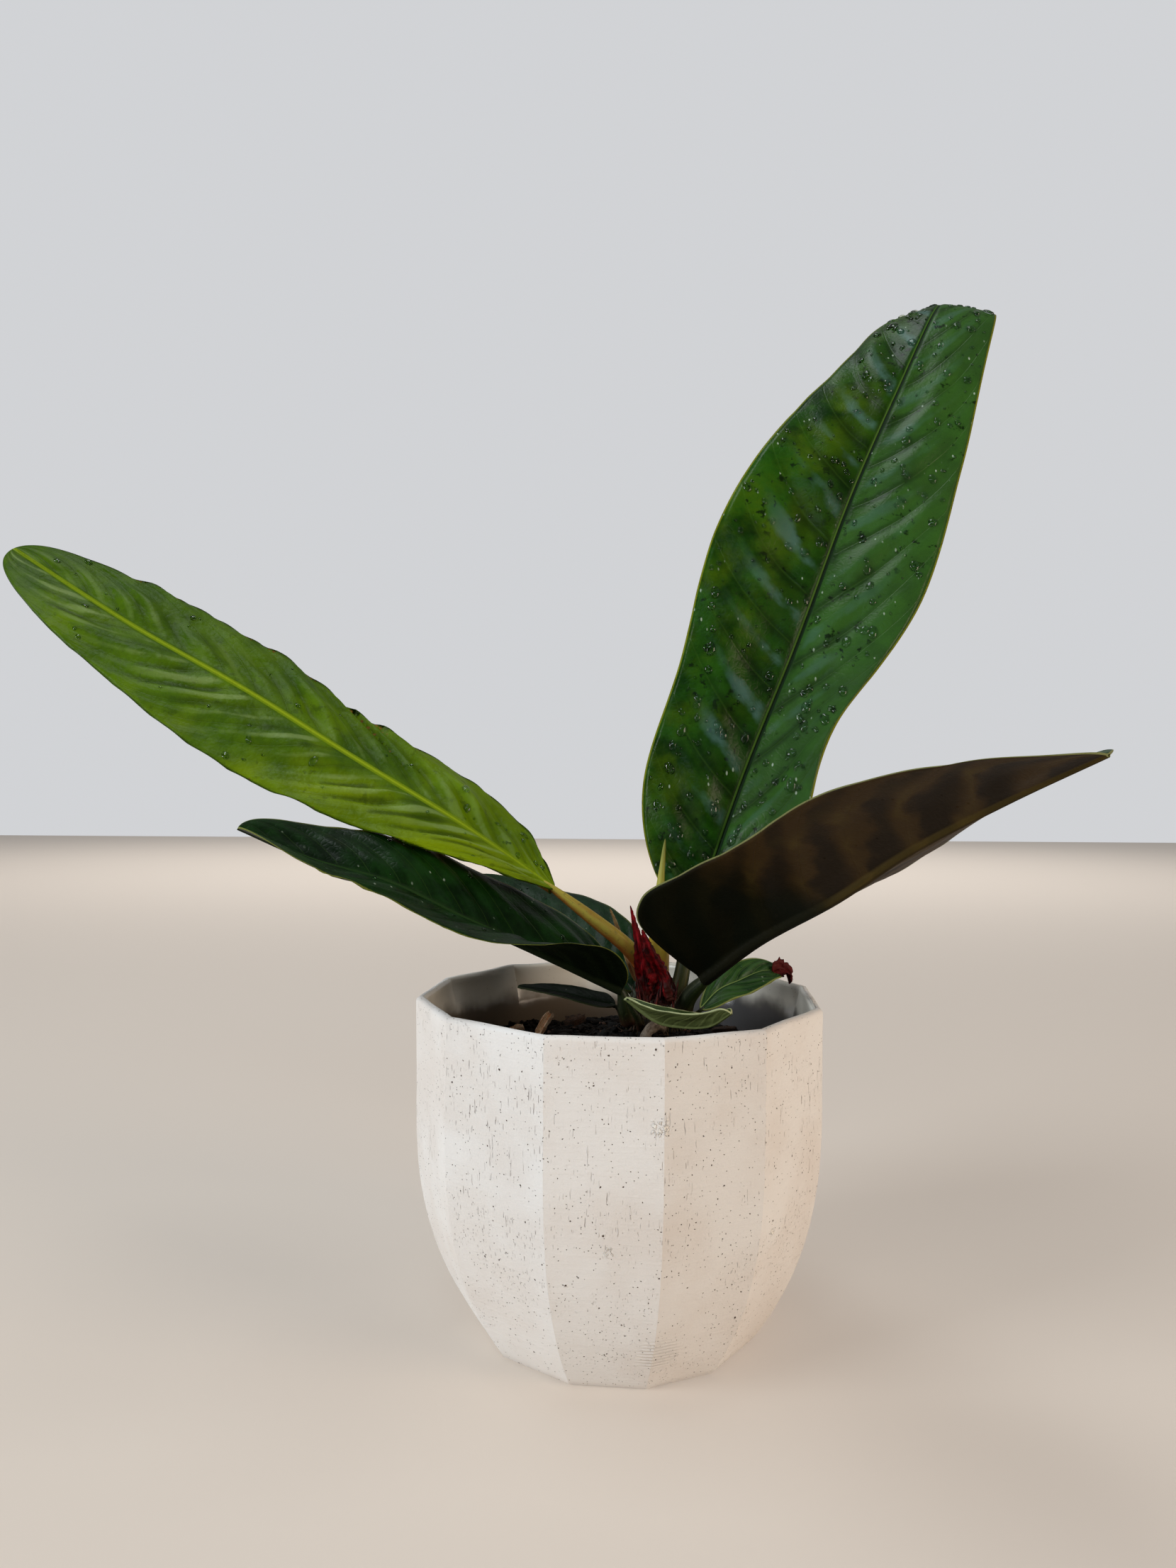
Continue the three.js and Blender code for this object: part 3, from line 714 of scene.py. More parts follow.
pale_bark = chip_finish("pale_bark", (206, 140, 92), (255, 236, 206), (92, 56, 36))
dark_bark = chip_finish("dark_bark", (28, 19, 14), (78, 54, 38), (14, 10, 8))
for number, (name, (size, at, turn, tilt, curl)) in enumerate(CHIPS.items()):
    length, width, thickness = size
    chip_mesh = bmesh.new()
    bmesh.ops.create_cube(chip_mesh, size=1)
    bmesh.ops.subdivide_edges(chip_mesh, edges=chip_mesh.edges, cuts=CHIP_CUTS,
                              use_grid_fill=True)
    marks = [chip_mesh.verts.layers.float.new(layer)
             for layer in ("lengthwise", "crosswise", "deep")]
    lie = (Matrix.Rotation(math.radians(turn), 4, "Z")
           @ Matrix.Rotation(math.radians(-tilt), 4, "Y"))
    lift = 0
    for vertex in chip_mesh.verts:
        x, y, z = vertex.co
        end = 2 * abs(x)
        ragged = noise.noise(Vector((x * 5, y * 5, number * 7)))
        chipped = noise.noise(Vector((x * 14, y * 14, z * 6 + number * 7)))
        local = Vector((
            length * x * (1 + CHIP_RAGGED_ENDS * ragged * (abs(y) > 0.35)),
            width * y * (1 - CHIP_NARROWING * end ** 3) * (1 + CHIP_RAGGED_SIDES * ragged),
            thickness * z * (0.75 + 0.5 * ragged) + 0.09 * thickness * chipped))
        local.z += curl * (2 * y) ** 2 - CHIP_BOW * length * end ** 2
        local.y *= 1 - 0.22 * min(curl, 1.6)
        for mark, value in zip(marks, local):
            vertex[mark] = value
        vertex.co = lie @ local
        lift = max(lift, mix_height(at[0] + vertex.co.x, at[1] + vertex.co.y) - vertex.co.z)
    for vertex in chip_mesh.verts:
        vertex.co = (vertex.co + Vector((*at, lift - CHIP_SINK))) * MM
    bmesh.ops.recalc_face_normals(chip_mesh, faces=chip_mesh.faces)
    pale = "pale" in name or "curled" in name
    made = piece_from(chip_mesh, name.replace("bark_chip", "bark_flake"),
                      pale_bark if pale else dark_bark)
    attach(made, "root")
    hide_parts(name)


# Crown and its roots
# A short thick stem, ringed by leaf scars, wrapped in the net of brown fibres that its old
# bracts leave. Two thick corky roots come out of it and bend down into the mix.
CROWN_FOOT = 108
CROWN_TOP = 142
CROWN_RADIUS = 12
CROWN_SHARES = [0.6, 0.85, 1, 1, 0.88, 0.66, 0.35]
CROWN_FIBRES = 130
FIBRE_FOOT = 129
STRAND_STEPS = 3
ROOTS = {
    "front": ([(19, -13.5, 133), (16, -18, 136), (12, -22, 134.5), (8, -25, 128)],
              [2.2, 2.4, 2.5, 2.2, 1.4]),
    "back": ([(18, 17, 133), (21, 23, 133), (23, 29, 130), (24, 33, 125.5)],
             [1.8, 1.9, 1.8, 1.6, 1]),
}


def bark_skin(angle, along):
    lump = noise.noise(Vector((2 * math.cos(angle), 2 * math.sin(angle), along * 9)))
    return 1 + 0.16 * lump + 0.05 * math.sin(along * 34)


crown_look = Finish("crown_bark", Specular_IOR_Level=0.3)
spot = crown_look.place()
fibres = crown_look.clouds(crown_look.scaled(spot, 900, 900, 160), 1.0, 4, 0.6)
blotch = crown_look.clouds(spot, 160, 3)
bark = crown_look.washed((30, 22, 15), (fibres.ramp(0.35, 0.65), (84, 62, 42)),
                         (blotch.ramp(0.5, 0.66) * 0.6, (52, 58, 26)))
crown_look.surface(bark, 0.7 + 0.2 * blotch, fibres + blotch * 0.4, 0.0008)
crown_mesh = tube([(*CROWN, CROWN_FOOT), (*CROWN, CROWN_TOP)],
                  [CROWN_RADIUS * share for share in CROWN_SHARES], 40, 40, bark_skin)
crown = piece_from(crown_mesh, "crown", crown_look)
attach(crown, "root")
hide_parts("stem")

strands = []
for _ in range(CROWN_FIBRES):
    turn, spread = dice.uniform(0, 2 * math.pi), dice.uniform(9, 14)
    twist, rise = dice.uniform(-0.5, 0.5), dice.uniform(7, 20)
    path = []
    for step in range(STRAND_STEPS + 1):
        reach = spread + dice.uniform(-1, 1.4)
        path.append((CROWN[0] + reach * math.cos(turn), CROWN[1] + reach * math.sin(turn),
                     FIBRE_FOOT + rise * step / STRAND_STEPS))
        turn += twist / STRAND_STEPS
    girth = dice.uniform(0.16, 0.4)
    strands.append(tube(path, [girth, girth, girth * 0.8, girth * 0.35], rows=9, sides=5))
crown_fibres = piece_from(joined(strands), "crown_fibres", crown_look)
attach(crown_fibres, "root")

root_look = Finish("root_cork", Specular_IOR_Level=0.35)
around, _ = root_look.skin()
cracks = root_look.clouds(root_look.vector(around * 26, root_look.layer("along") * 0.25), 1.0, 3)
blotch = root_look.clouds(root_look.place(), 260, 3)
cork = root_look.washed((84, 72, 60), (blotch.ramp(0.35, 0.65), (140, 126, 110)),
                        (cracks.ramp(0.58, 0.70) * 0.7, (70, 54, 42)))
root_look.surface(cork, 0.6 + 0.2 * blotch, blotch - cracks.ramp(0.55, 0.7), 0.0005, 0.8)
for name, (path, widths) in ROOTS.items():
    root = piece_from(tube(path, widths, 36, 20, bark_skin), name + "_root", root_look)
    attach(root, "root")
    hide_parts("aerial_root_" + name)


# Leaf stalks
# A short stout stalk carries each blade. It is round, with a shallow channel on its upper
# side, swells where it clasps the crown, and runs on into the blade's midrib.
STALK_SHARES = [1.288, 1, 0.9, 0.75, 0.45, 0.2]
USUAL_THICKNESS = 8
STALK_RUN_ON = 9
STALK_ROWS = 48
STALK_SIDES = 28

# In millimetres and degrees, as the CAD blades: midrib from base to tip, the way the upper
# side faces, half widths, turn about the midrib and rise of each half at base, middle and
# tip. Then the side veins of each half. Pairs are for the left and right half: how far the
# veins run forward as a share of the length, the swelling between them, and the waves of the
# margin. Then broader lumps, the upper side's relief at the midrib, a groove if it is less
# than zero, and for some the places where the swelling fades, and folds in the margin.
LEAVES = {
    "upright": dict(
        midrib=[(36, 16, 180), (60, 27, 246), (87, 38, 311), (117, 60, 385), (146, 80, 447),
                (176, 105, 505), (187, 136, 494)],
        face=(0.05, -1, 0.25),
        left=[25, 44, 49, 58, 46, 32, 21, 12], right=[24, 37, 33, 50, 46, 36, 28, 16],
        turn=[18, 4, 6], rise_left=[12, 6, -70], rise_right=[24, 9, 16],
        stalk=[(26, 11, 141), (29, 11, 153), (32, 14, 168), (35.4, 15.6, 178.4)],
        thickness=7.5, rows=190, veins=16, sweep=(0.065, 0.13), quilt=(4.0, 1.8), lumps=3.2,
        wave=(1.0, 0.7), crease=-0.8, calm=(0.68, 0.82)),
    "young": dict(
        midrib=[(-30, -5, 194), (-73, -2, 223), (-123, 2, 253), (-172, 5, 283),
                (-228, 9, 314), (-284, 15, 349)],
        face=(0.1, -0.66, 0.75),
        left=[8, 20, 33, 40, 42, 34, 26, 15], right=[8, 23, 32, 31, 36, 34, 24, 13],
        turn=[-12, -4, -1], rise_left=[18, -4, 8], rise_right=[12, -6, 8],
        stalk=[(17, 7, 144), (12, 5, 156), (3, -1, 168), (-13, -4, 181), (-28.6, -5, 192.8)],
        thickness=8, rows=190, veins=17, sweep=(0.16, 0.16), quilt=(1.5, 1.1), lumps=4.4,
        wave=(1.6, 4.2), crease=0.5, folds=[(4.7, 1, 9)]),
    "left": dict(
        midrib=[(0, -17, 151), (-38, -25, 170), (-68, -35, 185), (-96, -44, 200),
                (-127, -51, 210), (-155, -58, 223)],
        face=(0.25, -0.35, 0.9),
        left=[19, 35, 35, 29, 22, 20, 17, 10], right=[18, 31, 32, 30, 27, 24, 18, 10],
        turn=[3, 7, -8], rise_left=[64, 18, 25], rise_right=[6, 12, 20],
        stalk=[(4, -10, 134), (2, -14, 142), (0.6, -16.4, 149.4)],
        thickness=7, rows=130, veins=12, sweep=(0.17, 0.17), quilt=(1.0, 1.0), lumps=1.3,
        wave=(0.9, 0.9), crease=-0.4),
    "back": dict(
        midrib=[(7, 22, 143), (-11, 36, 160), (-31, 49, 170), (-54, 63, 178), (-79, 74, 191)],
        face=(0.3, -0.45, 0.85),
        left=[11, 20, 26, 29, 27, 24, 18, 10], right=[11, 20, 26, 29, 27, 24, 18, 10],
        turn=[0, 0, 0], rise_left=[20, 15, 10], rise_right=[20, 15, 10],
        stalk=[(10, 17, 134), (9, 19, 138), (7.4, 21.4, 142)],
        thickness=6, rows=90, veins=10, sweep=(0.17, 0.17), quilt=(0.8, 0.8), lumps=1.0,
        wave=(0.7, 0.7), crease=-0.4),
    "right": dict(
        midrib=[(36, -23, 157), (56, -47, 178), (80, -77, 198), (101, -105, 219),
                (123, -135, 237), (140.4, -168, 251.6)],
        face=(-0.3, 0.75, 0.6),
        left=[32, 44, 48, 48, 46, 39, 28, 12], right=[36, 49, 48, 47, 47, 40, 29, 12],
        turn=[-2, -3, -11], rise_left=[29, 22, 20], rise_right=[28, 20, 13],
        stalk=[(27, -10, 139), (30, -15, 148), (35.2, -22, 155.8)],
        thickness=8, rows=150, veins=8, sweep=(0.18, 0.18), quilt=(1.5, 1.5), lumps=1.4,
        wave=(0.9, 0.9), crease=-0.8),
    "small_left": dict(
        midrib=[(-2, 0, 141), (-13, 1, 143), (-24, 5, 145), (-35, 9, 146), (-47, 11, 147)],
        face=(0.05, -0.3, 0.95),
        left=[4, 7, 7, 7, 6, 5, 3, 2], right=[4, 7, 7, 7, 6, 5, 3, 2],
        turn=[0, 0, 0], rise_left=[12, 12, 12], rise_right=[12, 12, 12],
        stalk=[(1.6, 1, 134), (0.4, 0.5, 138), (-1.4, 0, 140.2)],
        thickness=3, rows=50, veins=8, sweep=(0.25, 0.25), quilt=(0.25, 0.25), lumps=0.3,
        wave=(0.3, 0.3), crease=-0.3),
    "small_front": dict(
        midrib=[(2, -23, 149), (14, -35, 142), (24, -42, 141), (35, -50, 143), (43, -58, 150)],
        face=(0, 0.3, 0.95),
        left=[2, 5, 9, 10, 9, 8, 6, 4], right=[2, 5, 9, 10, 9, 8, 6, 4],
        turn=[0, 0, 0], rise_left=[50, 45, 50], rise_right=[35, 35, 45],
        stalk=[(9, -14, 133), (7, -21, 140), (2.8, -23.4, 147.6)],
        thickness=3, rows=60, veins=9, sweep=(0.25, 0.25), quilt=(0.25, 0.25), lumps=0.5,
        wave=(0.4, 0.4), crease=-0.3),
    "small_right": dict(
        midrib=[(36, -8, 141), (45, 0, 148), (55, 7, 151), (66.5, 15, 154), (76.5, 20, 153.5)],
        face=(-0.1, -0.75, 0.65),
        left=[2, 4, 6.5, 8.5, 9, 8, 6, 3.5], right=[3, 6, 8, 9, 9, 8, 6, 4],
        turn=[0, 0, 0], rise_left=[8, 8, 8], rise_right=[8, 8, 8],
        stalk=[(29, -2, 132), (32.5, -4.5, 136), (35.4, -7.6, 140)],
        thickness=3, rows=60, veins=5, sweep=(0.4, 0.4), quilt=(0.45, 0.45), lumps=0.5,
        wave=(0.4, 0.4), crease=-0.4),
}


def stalk_finish(name, low, high, beneath, edge, foot):
    """low and high are the colours near the crown and near the blade."""
    finish = Finish(name, Specular_IOR_Level=0.35)
    spot, from_foot = finish.place(), finish.layer("along")
    around, along = finish.skin()
    lines = finish.clouds(finish.vector(around * 14, from_foot * 0.03), 1.0, 3)
    freckles = finish.clouds(spot, 700, 2).ramp(0.60, 0.68)
    blotch = finish.clouds(spot, 120, 3)
    side = (around * 2 * math.pi + blotch - 0.5).sine().ramp(-0.2, 0.9)
    colour = finish.washed(
        low, ((along + (blotch - 0.5) * 0.8).ramp(0.1, 0.75), high), (side * 0.8, beneath),
        (lines.ramp(0.46, 0.66) * 0.5, edge), (from_foot.ramp(9, 1), foot),
        (freckles * 0.35, (70, 74, 48)))
    finish.surface(colour, 0.38 + 0.2 * blotch, lines + 0.3 * blotch, 0.0004, 0.6)
    return finish


def channelled(angle, along):
    return 1 - 0.13 * max(0, math.cos(angle)) ** 3 + 0.02 * math.sin(3 * angle + 8 * along)


green_stalk = stalk_finish("green_stalk", (44, 52, 18), (58, 70, 22), (40, 42, 16),
                           (92, 84, 34), (58, 34, 20))
dark_stalk = stalk_finish("dark_stalk", (22, 30, 8), (28, 40, 11), (18, 24, 7),
                          (48, 56, 22), (50, 26, 16))
young_stalk = stalk_finish("young_stalk", (164, 96, 36), (190, 180, 72), (180, 82, 36),
                           (146, 100, 34), (150, 44, 26))
for name, leaf in LEAVES.items():
    stalk_path = [Vector(point) for point in leaf["stalk"]]
    heading = (stalk_path[-1] - stalk_path[-2]).normalized()
    blade_heading = (Vector(leaf["midrib"][1]) - Vector(leaf["midrib"][0])).normalized()
    run_on = STALK_RUN_ON * leaf["thickness"] / USUAL_THICKNESS
    stalk_path.append(stalk_path[-1] + (heading + blade_heading).normalized() * run_on)
    widths = [share * leaf["thickness"] / 2 for share in STALK_SHARES]
    look = {"young": young_stalk, "upright": green_stalk}.get(name, dark_stalk)
    stalk = piece_from(tube(stalk_path, widths, STALK_ROWS, STALK_SIDES, channelled),
                       name + "_stalk", look)
    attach(stalk, "root")
    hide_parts(name + "_leaf_petiole")
    "young_petiole" if name == "young" else "petiole"


# Leaf blades
# Stiff leathery blades, mostly dark above and brown-olive beneath, with a midrib and side
# veins that run out towards the tip. The blade swells up between the side veins. Each grew
# as one sheet, about a millimetre thick, thinner towards its margin.
BLADE_THICKNESS = 0.9
BLADE_COLUMNS = 26
COLUMN_CROWDING = 1.6
BULGE = 0.1
GROOVE_HALF_WIDTH = 2.6
RIB_HEIGHT = 2.4
RIB_HALF_WIDTH = 2.9
RIB_NARROWING = 0.72
RIB_FLATTENING = 0.8
# The half widths below which the relief and the groove fade away.
NARROW_FOR_RELIEF = 8
NARROW_FOR_GROOVE = 6
# In side veins: how far they wander, how far each half's are moved on, and a fold's width.
VEIN_WANDER = 0.28
VEIN_OFFSET = 0.2
FOLD_WIDTH = 0.13


def soft_step(value, low, high):
    share = min(max((value - low) / (high - low), 0), 1)
    return share * share * (3 - 2 * share)


class Blade:
    """The surface of one leaf. Its rows stand closer together towards both ends."""

    def __init__(self, leaf, seed, thickness=BLADE_THICKNESS):
        self.leaf = leaf
        self.rows = leaf["rows"]
        self.seed = seed
        self.thickness = thickness
        self.places = [(1 - math.cos(math.pi * i / self.rows)) / 2
                       for i in range(self.rows + 1)]
        self.frames = frames_along(leaf["midrib"], leaf["face"], self.places)
        self.length = length_of(self.frames)

    def vein(self, across, place):
        """The number of side veins passed, which rises by one from vein to vein."""
        leaf = self.leaf
        share = abs(across)
        side = math.copysign(min(share / 0.04, 1), across)
        wander = VEIN_WANDER * noise.noise(Vector((place * 6, side * 2, self.seed)))
        forward = leaf["sweep"][across > 0] * (0.85 * share + 0.5 * share ** 3)
        return leaf["veins"] * (place - forward) + VEIN_OFFSET * side + wander

    def relief(self, across, place, reach):
        """How far the blade stands out of its smooth surface, and its relief at the midrib."""
        leaf = self.leaf
        share = abs(across)
        side = 1 if across > 0 else -1
        vein = self.vein(across, place)
        luck = noise.cell(Vector((math.floor(vein) + 0.5, side * 3.0, self.seed)))
        strength = 0.75 + 0.6 * luck
        swell = abs(math.sin(math.pi * vein)) ** 1.3 * strength - 0.4
        lumps = noise.noise(Vector((vein * 0.62, share * 1.5 + side * 9, self.seed)))
        lumps += 0.5 * noise.noise(Vector((vein * 1.3, share * 3 + side * 9, self.seed)))
        belly = soft_step(share, 0.01, 0.34) * (1 - 0.75 * soft_step(share, 0.45, 1))
        calm = leaf.get("calm", (0.82, 1))
        ends = soft_step(place, 0, 0.06) * soft_step(place, calm[1], calm[0])
        wave = leaf["wave"][side > 0] * share ** 3
        edge = wave * (abs(noise.noise(Vector((vein * 0.8, side * 5, self.seed)))) * 2 - 0.5)
        for fold_vein, fold_side, depth in leaf.get("folds", ()):
            if fold_side == side:
                from_fold = (vein - fold_vein) / FOLD_WIDTH
                edge -= depth * share ** 1.5 * math.exp(-from_fold ** 2)
        groove = leaf["crease"] * max(0, 1 - reach / GROOVE_HALF_WIDTH) ** 1.5
        height = (leaf["quilt"][side > 0] * swell + leaf["lumps"] * lumps) * belly + edge
        return height * ends, groove

    def width(self, half, row):
        widths = [0] + self.leaf[half] + [0]
        return max(smooth(widths, row / self.rows), 0)

    def point(self, across, row, side):
        """A point on the upper (side 1) or lower (side -1) skin, and its layers' values."""
        leaf = self.leaf
        centre, along, up = self.frames[row]
        place = self.places[row]
        turn = math.radians(smooth(leaf["turn"], place))
        across_axis = along.cross(up)
        sideways = across_axis * math.cos(turn) + up * math.sin(turn)
        upwards = up * math.cos(turn) - across_axis * math.sin(turn)
        half = "left" if across < 0 else "right"
        width = self.width(half, row)
        rise = math.radians(smooth(leaf["rise_" + half], place))
        share = abs(across)
        reach = share * width
        hand = 1 if across > 0 else -1
        height, groove = self.relief(across, place, reach)
        wave = height * min(1, width / NARROW_FOR_RELIEF)
        normal = upwards * math.cos(rise) - sideways * (hand * math.sin(rise))
        middle = (centre + sideways * (hand * reach * math.cos(rise))
                  + upwards * (reach * (math.sin(rise) + BULGE * (1 - share))) + normal * wave)
        thin = self.thickness / 2 * (1 - share ** 6) ** 0.5
        if side > 0:
            depth = thin + groove * min(1, width / NARROW_FOR_GROOVE)
        else:
            stout = leaf["thickness"] / USUAL_THICKNESS
            rib_width = RIB_HALF_WIDTH * (1 - RIB_NARROWING * place) * stout
            rib = math.sqrt(max(0, 1 - (reach / rib_width) ** 2))
            depth = -thin - rib * RIB_HEIGHT * (1 - RIB_FLATTENING * place) * stout
        values = (self.vein(across, place), hand * reach, width - reach,
                  place * self.length)
        return middle + normal * depth, *values

    def place(self, around, along):
        """Around runs across the upper side from left to right, then back underneath."""
        row = round(along * self.rows)
        across = 1 - 4 * abs(around - 0.5)
        across = math.copysign(abs(across) ** COLUMN_CROWDING, across)
        return self.point(across, row, 1 if around < 0.5 else -1)

    def mesh(self, columns=BLADE_COLUMNS):
        return bent_grid(4 * columns, self.rows, self.place, ("vein", "reach", "rim", "along"))


# Colours of the upper side: shade and light, fresher patches and how many of them, the
# midrib and its groove, the margin. Of the lower side: the painted shade of its hollows, light
# and the veins. Then how plainly the side veins, streaks, dark spots and white flecks show,
# the roughness, the strength of reflections, and the bluish painted sheen on the swellings,
# with how much of it. wrinkles is the strength of the fine wrinkles along the side veins, 0.6
# if not given.
LEAF_LOOKS = {
    "upright": dict(
        dark=(8, 42, 0), light=(34, 80, 8), fresh=(72, 100, 0), freshness=0.75,
        rib=(70, 108, 34), groove=(8, 32, 6), margin=(128, 134, 30),
        under=[(34, 26, 14), (72, 60, 32), (96, 92, 50)],
        veins=0.14, streaks=0.12, spots=0.9, flecks=0.8, gloss=0.27, shine=0.14,
        sheen_tint=(84, 120, 116), sheen_amount=0.55, wrinkles=1.4),
    "young": dict(
        dark=(52, 84, 0), light=(76, 110, 0), fresh=(112, 138, 0), freshness=0.45,
        rib=(142, 166, 22), groove=(112, 138, 8), margin=(58, 84, 6),
        under=[(98, 62, 26), (128, 104, 40), (150, 140, 60)],
        veins=0.0, streaks=0.06, spots=0.35, flecks=0, gloss=0.36, shine=0.1,
        sheen_tint=(150, 176, 108), sheen_amount=0.42, wrinkles=6),
    "left": dict(
        dark=(3, 24, 2), light=(18, 54, 12), fresh=(38, 62, 8), freshness=0.25,
        rib=(84, 128, 46), groove=(30, 60, 20), margin=(112, 120, 50),
        under=[(6, 12, 4), (18, 28, 12), (28, 38, 16)],
        veins=0.12, streaks=0.15, spots=0.3, flecks=0.5, gloss=0.26, shine=0.12,
        sheen_tint=(42, 72, 46), sheen_amount=0.25),
    "back": dict(
        dark=(3, 27, 8), light=(15, 48, 18), fresh=(30, 60, 16), freshness=0.2,
        rib=(60, 98, 50), groove=(20, 46, 24), margin=(88, 104, 50),
        under=[(24, 22, 12), (46, 44, 24), (64, 64, 36)],
        veins=0.15, streaks=0.2, spots=0.3, flecks=0.3, gloss=0.30, shine=0.12,
        sheen_tint=(42, 74, 56), sheen_amount=0.2),
    "right": dict(
        dark=(18, 50, 10), light=(42, 82, 22), fresh=(76, 92, 18), freshness=0.5,
        rib=(80, 112, 48), groove=(14, 40, 14), margin=(122, 124, 78),
        under=[(27, 19, 8), (50, 36, 14), (76, 64, 28)],
        veins=0.2, streaks=0.3, spots=0.5, flecks=0.3, gloss=0.30, shine=0.1,
        sheen_tint=(90, 118, 112), sheen_amount=0.3),
    "small_left": dict(
        dark=(3, 11, 2), light=(9, 22, 6), fresh=(20, 28, 6), freshness=0.2,
        rib=(30, 48, 22), groove=(12, 24, 10), margin=(38, 46, 22),
        under=[(10, 10, 5), (20, 20, 9), (28, 30, 14)],
        veins=0.1, streaks=0.2, spots=0.2, flecks=0.2, gloss=0.4, shine=0.1,
        sheen_tint=(24, 36, 24), sheen_amount=0.1),
    "small_front": dict(
        dark=(34, 54, 18), light=(58, 80, 30), fresh=(88, 100, 40), freshness=0.3,
        rib=(112, 122, 70), groove=(40, 60, 24), margin=(192, 198, 146),
        under=[(70, 80, 38), (94, 102, 56), (106, 114, 68)],
        veins=0.12, streaks=0.3, spots=0.3, flecks=0.4, gloss=0.42, shine=0.2,
        sheen_tint=(120, 134, 96), sheen_amount=0.3),
    "small_right": dict(
        dark=(22, 58, 18), light=(50, 88, 34), fresh=(84, 108, 40), freshness=0.3,
        rib=(120, 150, 84), groove=(30, 62, 26), margin=(136, 148, 80),
        under=[(52, 58, 34), (82, 88, 50), (104, 112, 68)],
        veins=0.35, streaks=0.5, spots=0.3, flecks=0.5, gloss=0.32, shine=0.2,
        sheen_tint=(110, 138, 120), sheen_amount=0.3),
}


def dimmed(colour, share):
    return tuple(part * share for part in colour)


class LeafFinish(Finish):
    """A blade's finish. Its two sides share the blotches, the side veins and the midrib."""

    def __init__(self, name, look, leaf):
        super().__init__(name + "_leaf", Specular_IOR_Level=look["shine"])
        self.name, self.look, self.leaf = name, look, leaf
        self.spot = self.place()
        around, self.length_share = self.skin()
        self.vein, self.reach, rim, self.along = (
            self.layer(layer) for layer in ("vein", "reach", "rim", "along"))
        self.share = abs(self.reach) / (abs(self.reach) + rim + 0.01)
        self.blotch = self.clouds(self.spot, 26, 3)
        self.mottle = self.clouds(self.spot, 85, 4, 0.62)
        self.patches = self.clouds(self.moved(self.spot, (7, 2, 5)), 34, 4, 0.6)
        self.streak = self.clouds(
            self.vector(self.vein * 5, abs(self.reach) * 0.05, self.along * 0.01), 1.0, 3)
        self.rib_width = (leaf["thickness"] / USUAL_THICKNESS * (1.55 - self.length_share * 0.9)
                          * (1.4 if name == "young" else 1))
        self.from_rib = abs(self.reach) / self.rib_width
        top, low = self.upper_side(), self.lower_side()
        beneath = around.above(0.5)
        colour = self.washed(top, (beneath, low), (rim.ramp(1.0, 0.45), look["margin"]))
        roughness = (look["gloss"] + 0.14 * self.mottle + 0.16 * beneath + 0.3 * self.chalk
                     + 0.35 * self.from_rib.ramp(2.2, 1.0))
        self.surface(colour, roughness, self.fine_relief(beneath), 0.0003, 0.6)

    def upper_side(self):
        look, reach, share = self.look, self.reach, self.share
        blotch, mottle, streak = self.blotch, self.mottle, self.streak - 0.5
        swell = abs((self.vein * math.pi).sine())
        tone = (blotch * 0.5 + mottle * 0.5 + streak * look["streaks"]
                + (swell - 0.6) * look["streaks"] * 0.2)
        fresh = self.clouds(self.moved(self.spot, (3, 1, 2)), 30, 5, 0.6).ramp(0.42, 0.74)
        fresh = fresh * (reach.ramp(6, -26) * 0.8 + 0.2) * look["freshness"]
        washes = [(tone.ramp(0.36, 0.64), look["light"]), (fresh, look["fresh"])]
        if self.name == "young":
            pale = self.length_share.ramp(0.75, 0.0) + share * 0.3 - 0.2 + (blotch - 0.5) * 1.4
            pale = pale.ramp(0.1, 0.9) * (reach.ramp(12, -8) * 0.6 + 0.4)
            washes += [(pale * 0.65, (140, 164, 0))]
        if self.name == "upright":
            # On the upright leaf the left half is darker beside the midrib. The right half is washed
            # lighter and greyer, a painted sheen.
            inner = reach.ramp(-34, -12) * reach.ramp(3, -3) * blotch.ramp(0.36, 0.6)
            washes += [(inner * 0.6, (12, 42, 4)), (reach.ramp(-3, 9) * 0.45, (62, 100, 46))]
        spots = self.clouds(self.spot, 190, 3, 0.6).ramp(0.59, 0.68) * blotch.ramp(0.42, 0.56)
        # Painted shade darkens the grooves along the side veins, more on blades that swell more.
        valley_shade = (swell + (mottle - 0.5) * 0.5).ramp(0.6, 0.1) * share.ramp(0.85, 0.3)
        valley_shade = valley_shade * min(self.leaf["quilt"][0] / 8, 0.5)
        self.line = swell.ramp(0.10, 0.01) * share.ramp(0.0, 0.1)
        crest = abs(reach + self.rib_width * 0.85) if self.leaf["crease"] < 0 else abs(reach)
        crest = (crest / self.rib_width).ramp(0.55, 0.2)
        crest = crest * (1 - self.length_share.ramp(0.45, 0.9) * 0.6)
        chalk, luck = self.scatter(self.scaled(self.spot, 1, 1, 0.45), 330)
        self.chalk = chalk.ramp(0.2, 0.1) * luck.above(0.8) * mottle.ramp(0.44, 0.56)
        washes += [(spots * look["spots"], dimmed(look["dark"], 0.5)),
                   (valley_shade, dimmed(look["dark"], 0.45)), (self.line * look["veins"], look["rib"]),
                   (self.from_rib.ramp(1.2, 0.85), look["groove"]), (crest, look["rib"]),
                   (self.chalk * look["flecks"], (168, 186, 168))]
        if self.name == "young":
            # On the young leaf, painted shade darkens the hollows between the swellings in its left
            # half.
            pocket_shade = swell.ramp(0.8, 0.25) * self.patches.ramp(0.48, 0.6) * reach.ramp(-3, -9)
            washes += [(pocket_shade * share.ramp(0.9, 0.6) * 0.6, (38, 60, 0))]
        # A bluish painted sheen lies on the swellings near the midrib, weaker on the right half.
        painted_sheen = (self.patches * 0.8 + swell ** 3 * 0.36 + streak * 0.2).ramp(0.62, 0.82)
        painted_sheen = painted_sheen * share.ramp(0.85, 0.25) * share.ramp(0.03, 0.12) * (1 - reach.ramp(-2, 2) * 0.6)
        return self.washed(look["dark"], *washes, (painted_sheen * look["sheen_amount"], look["sheen_tint"]))

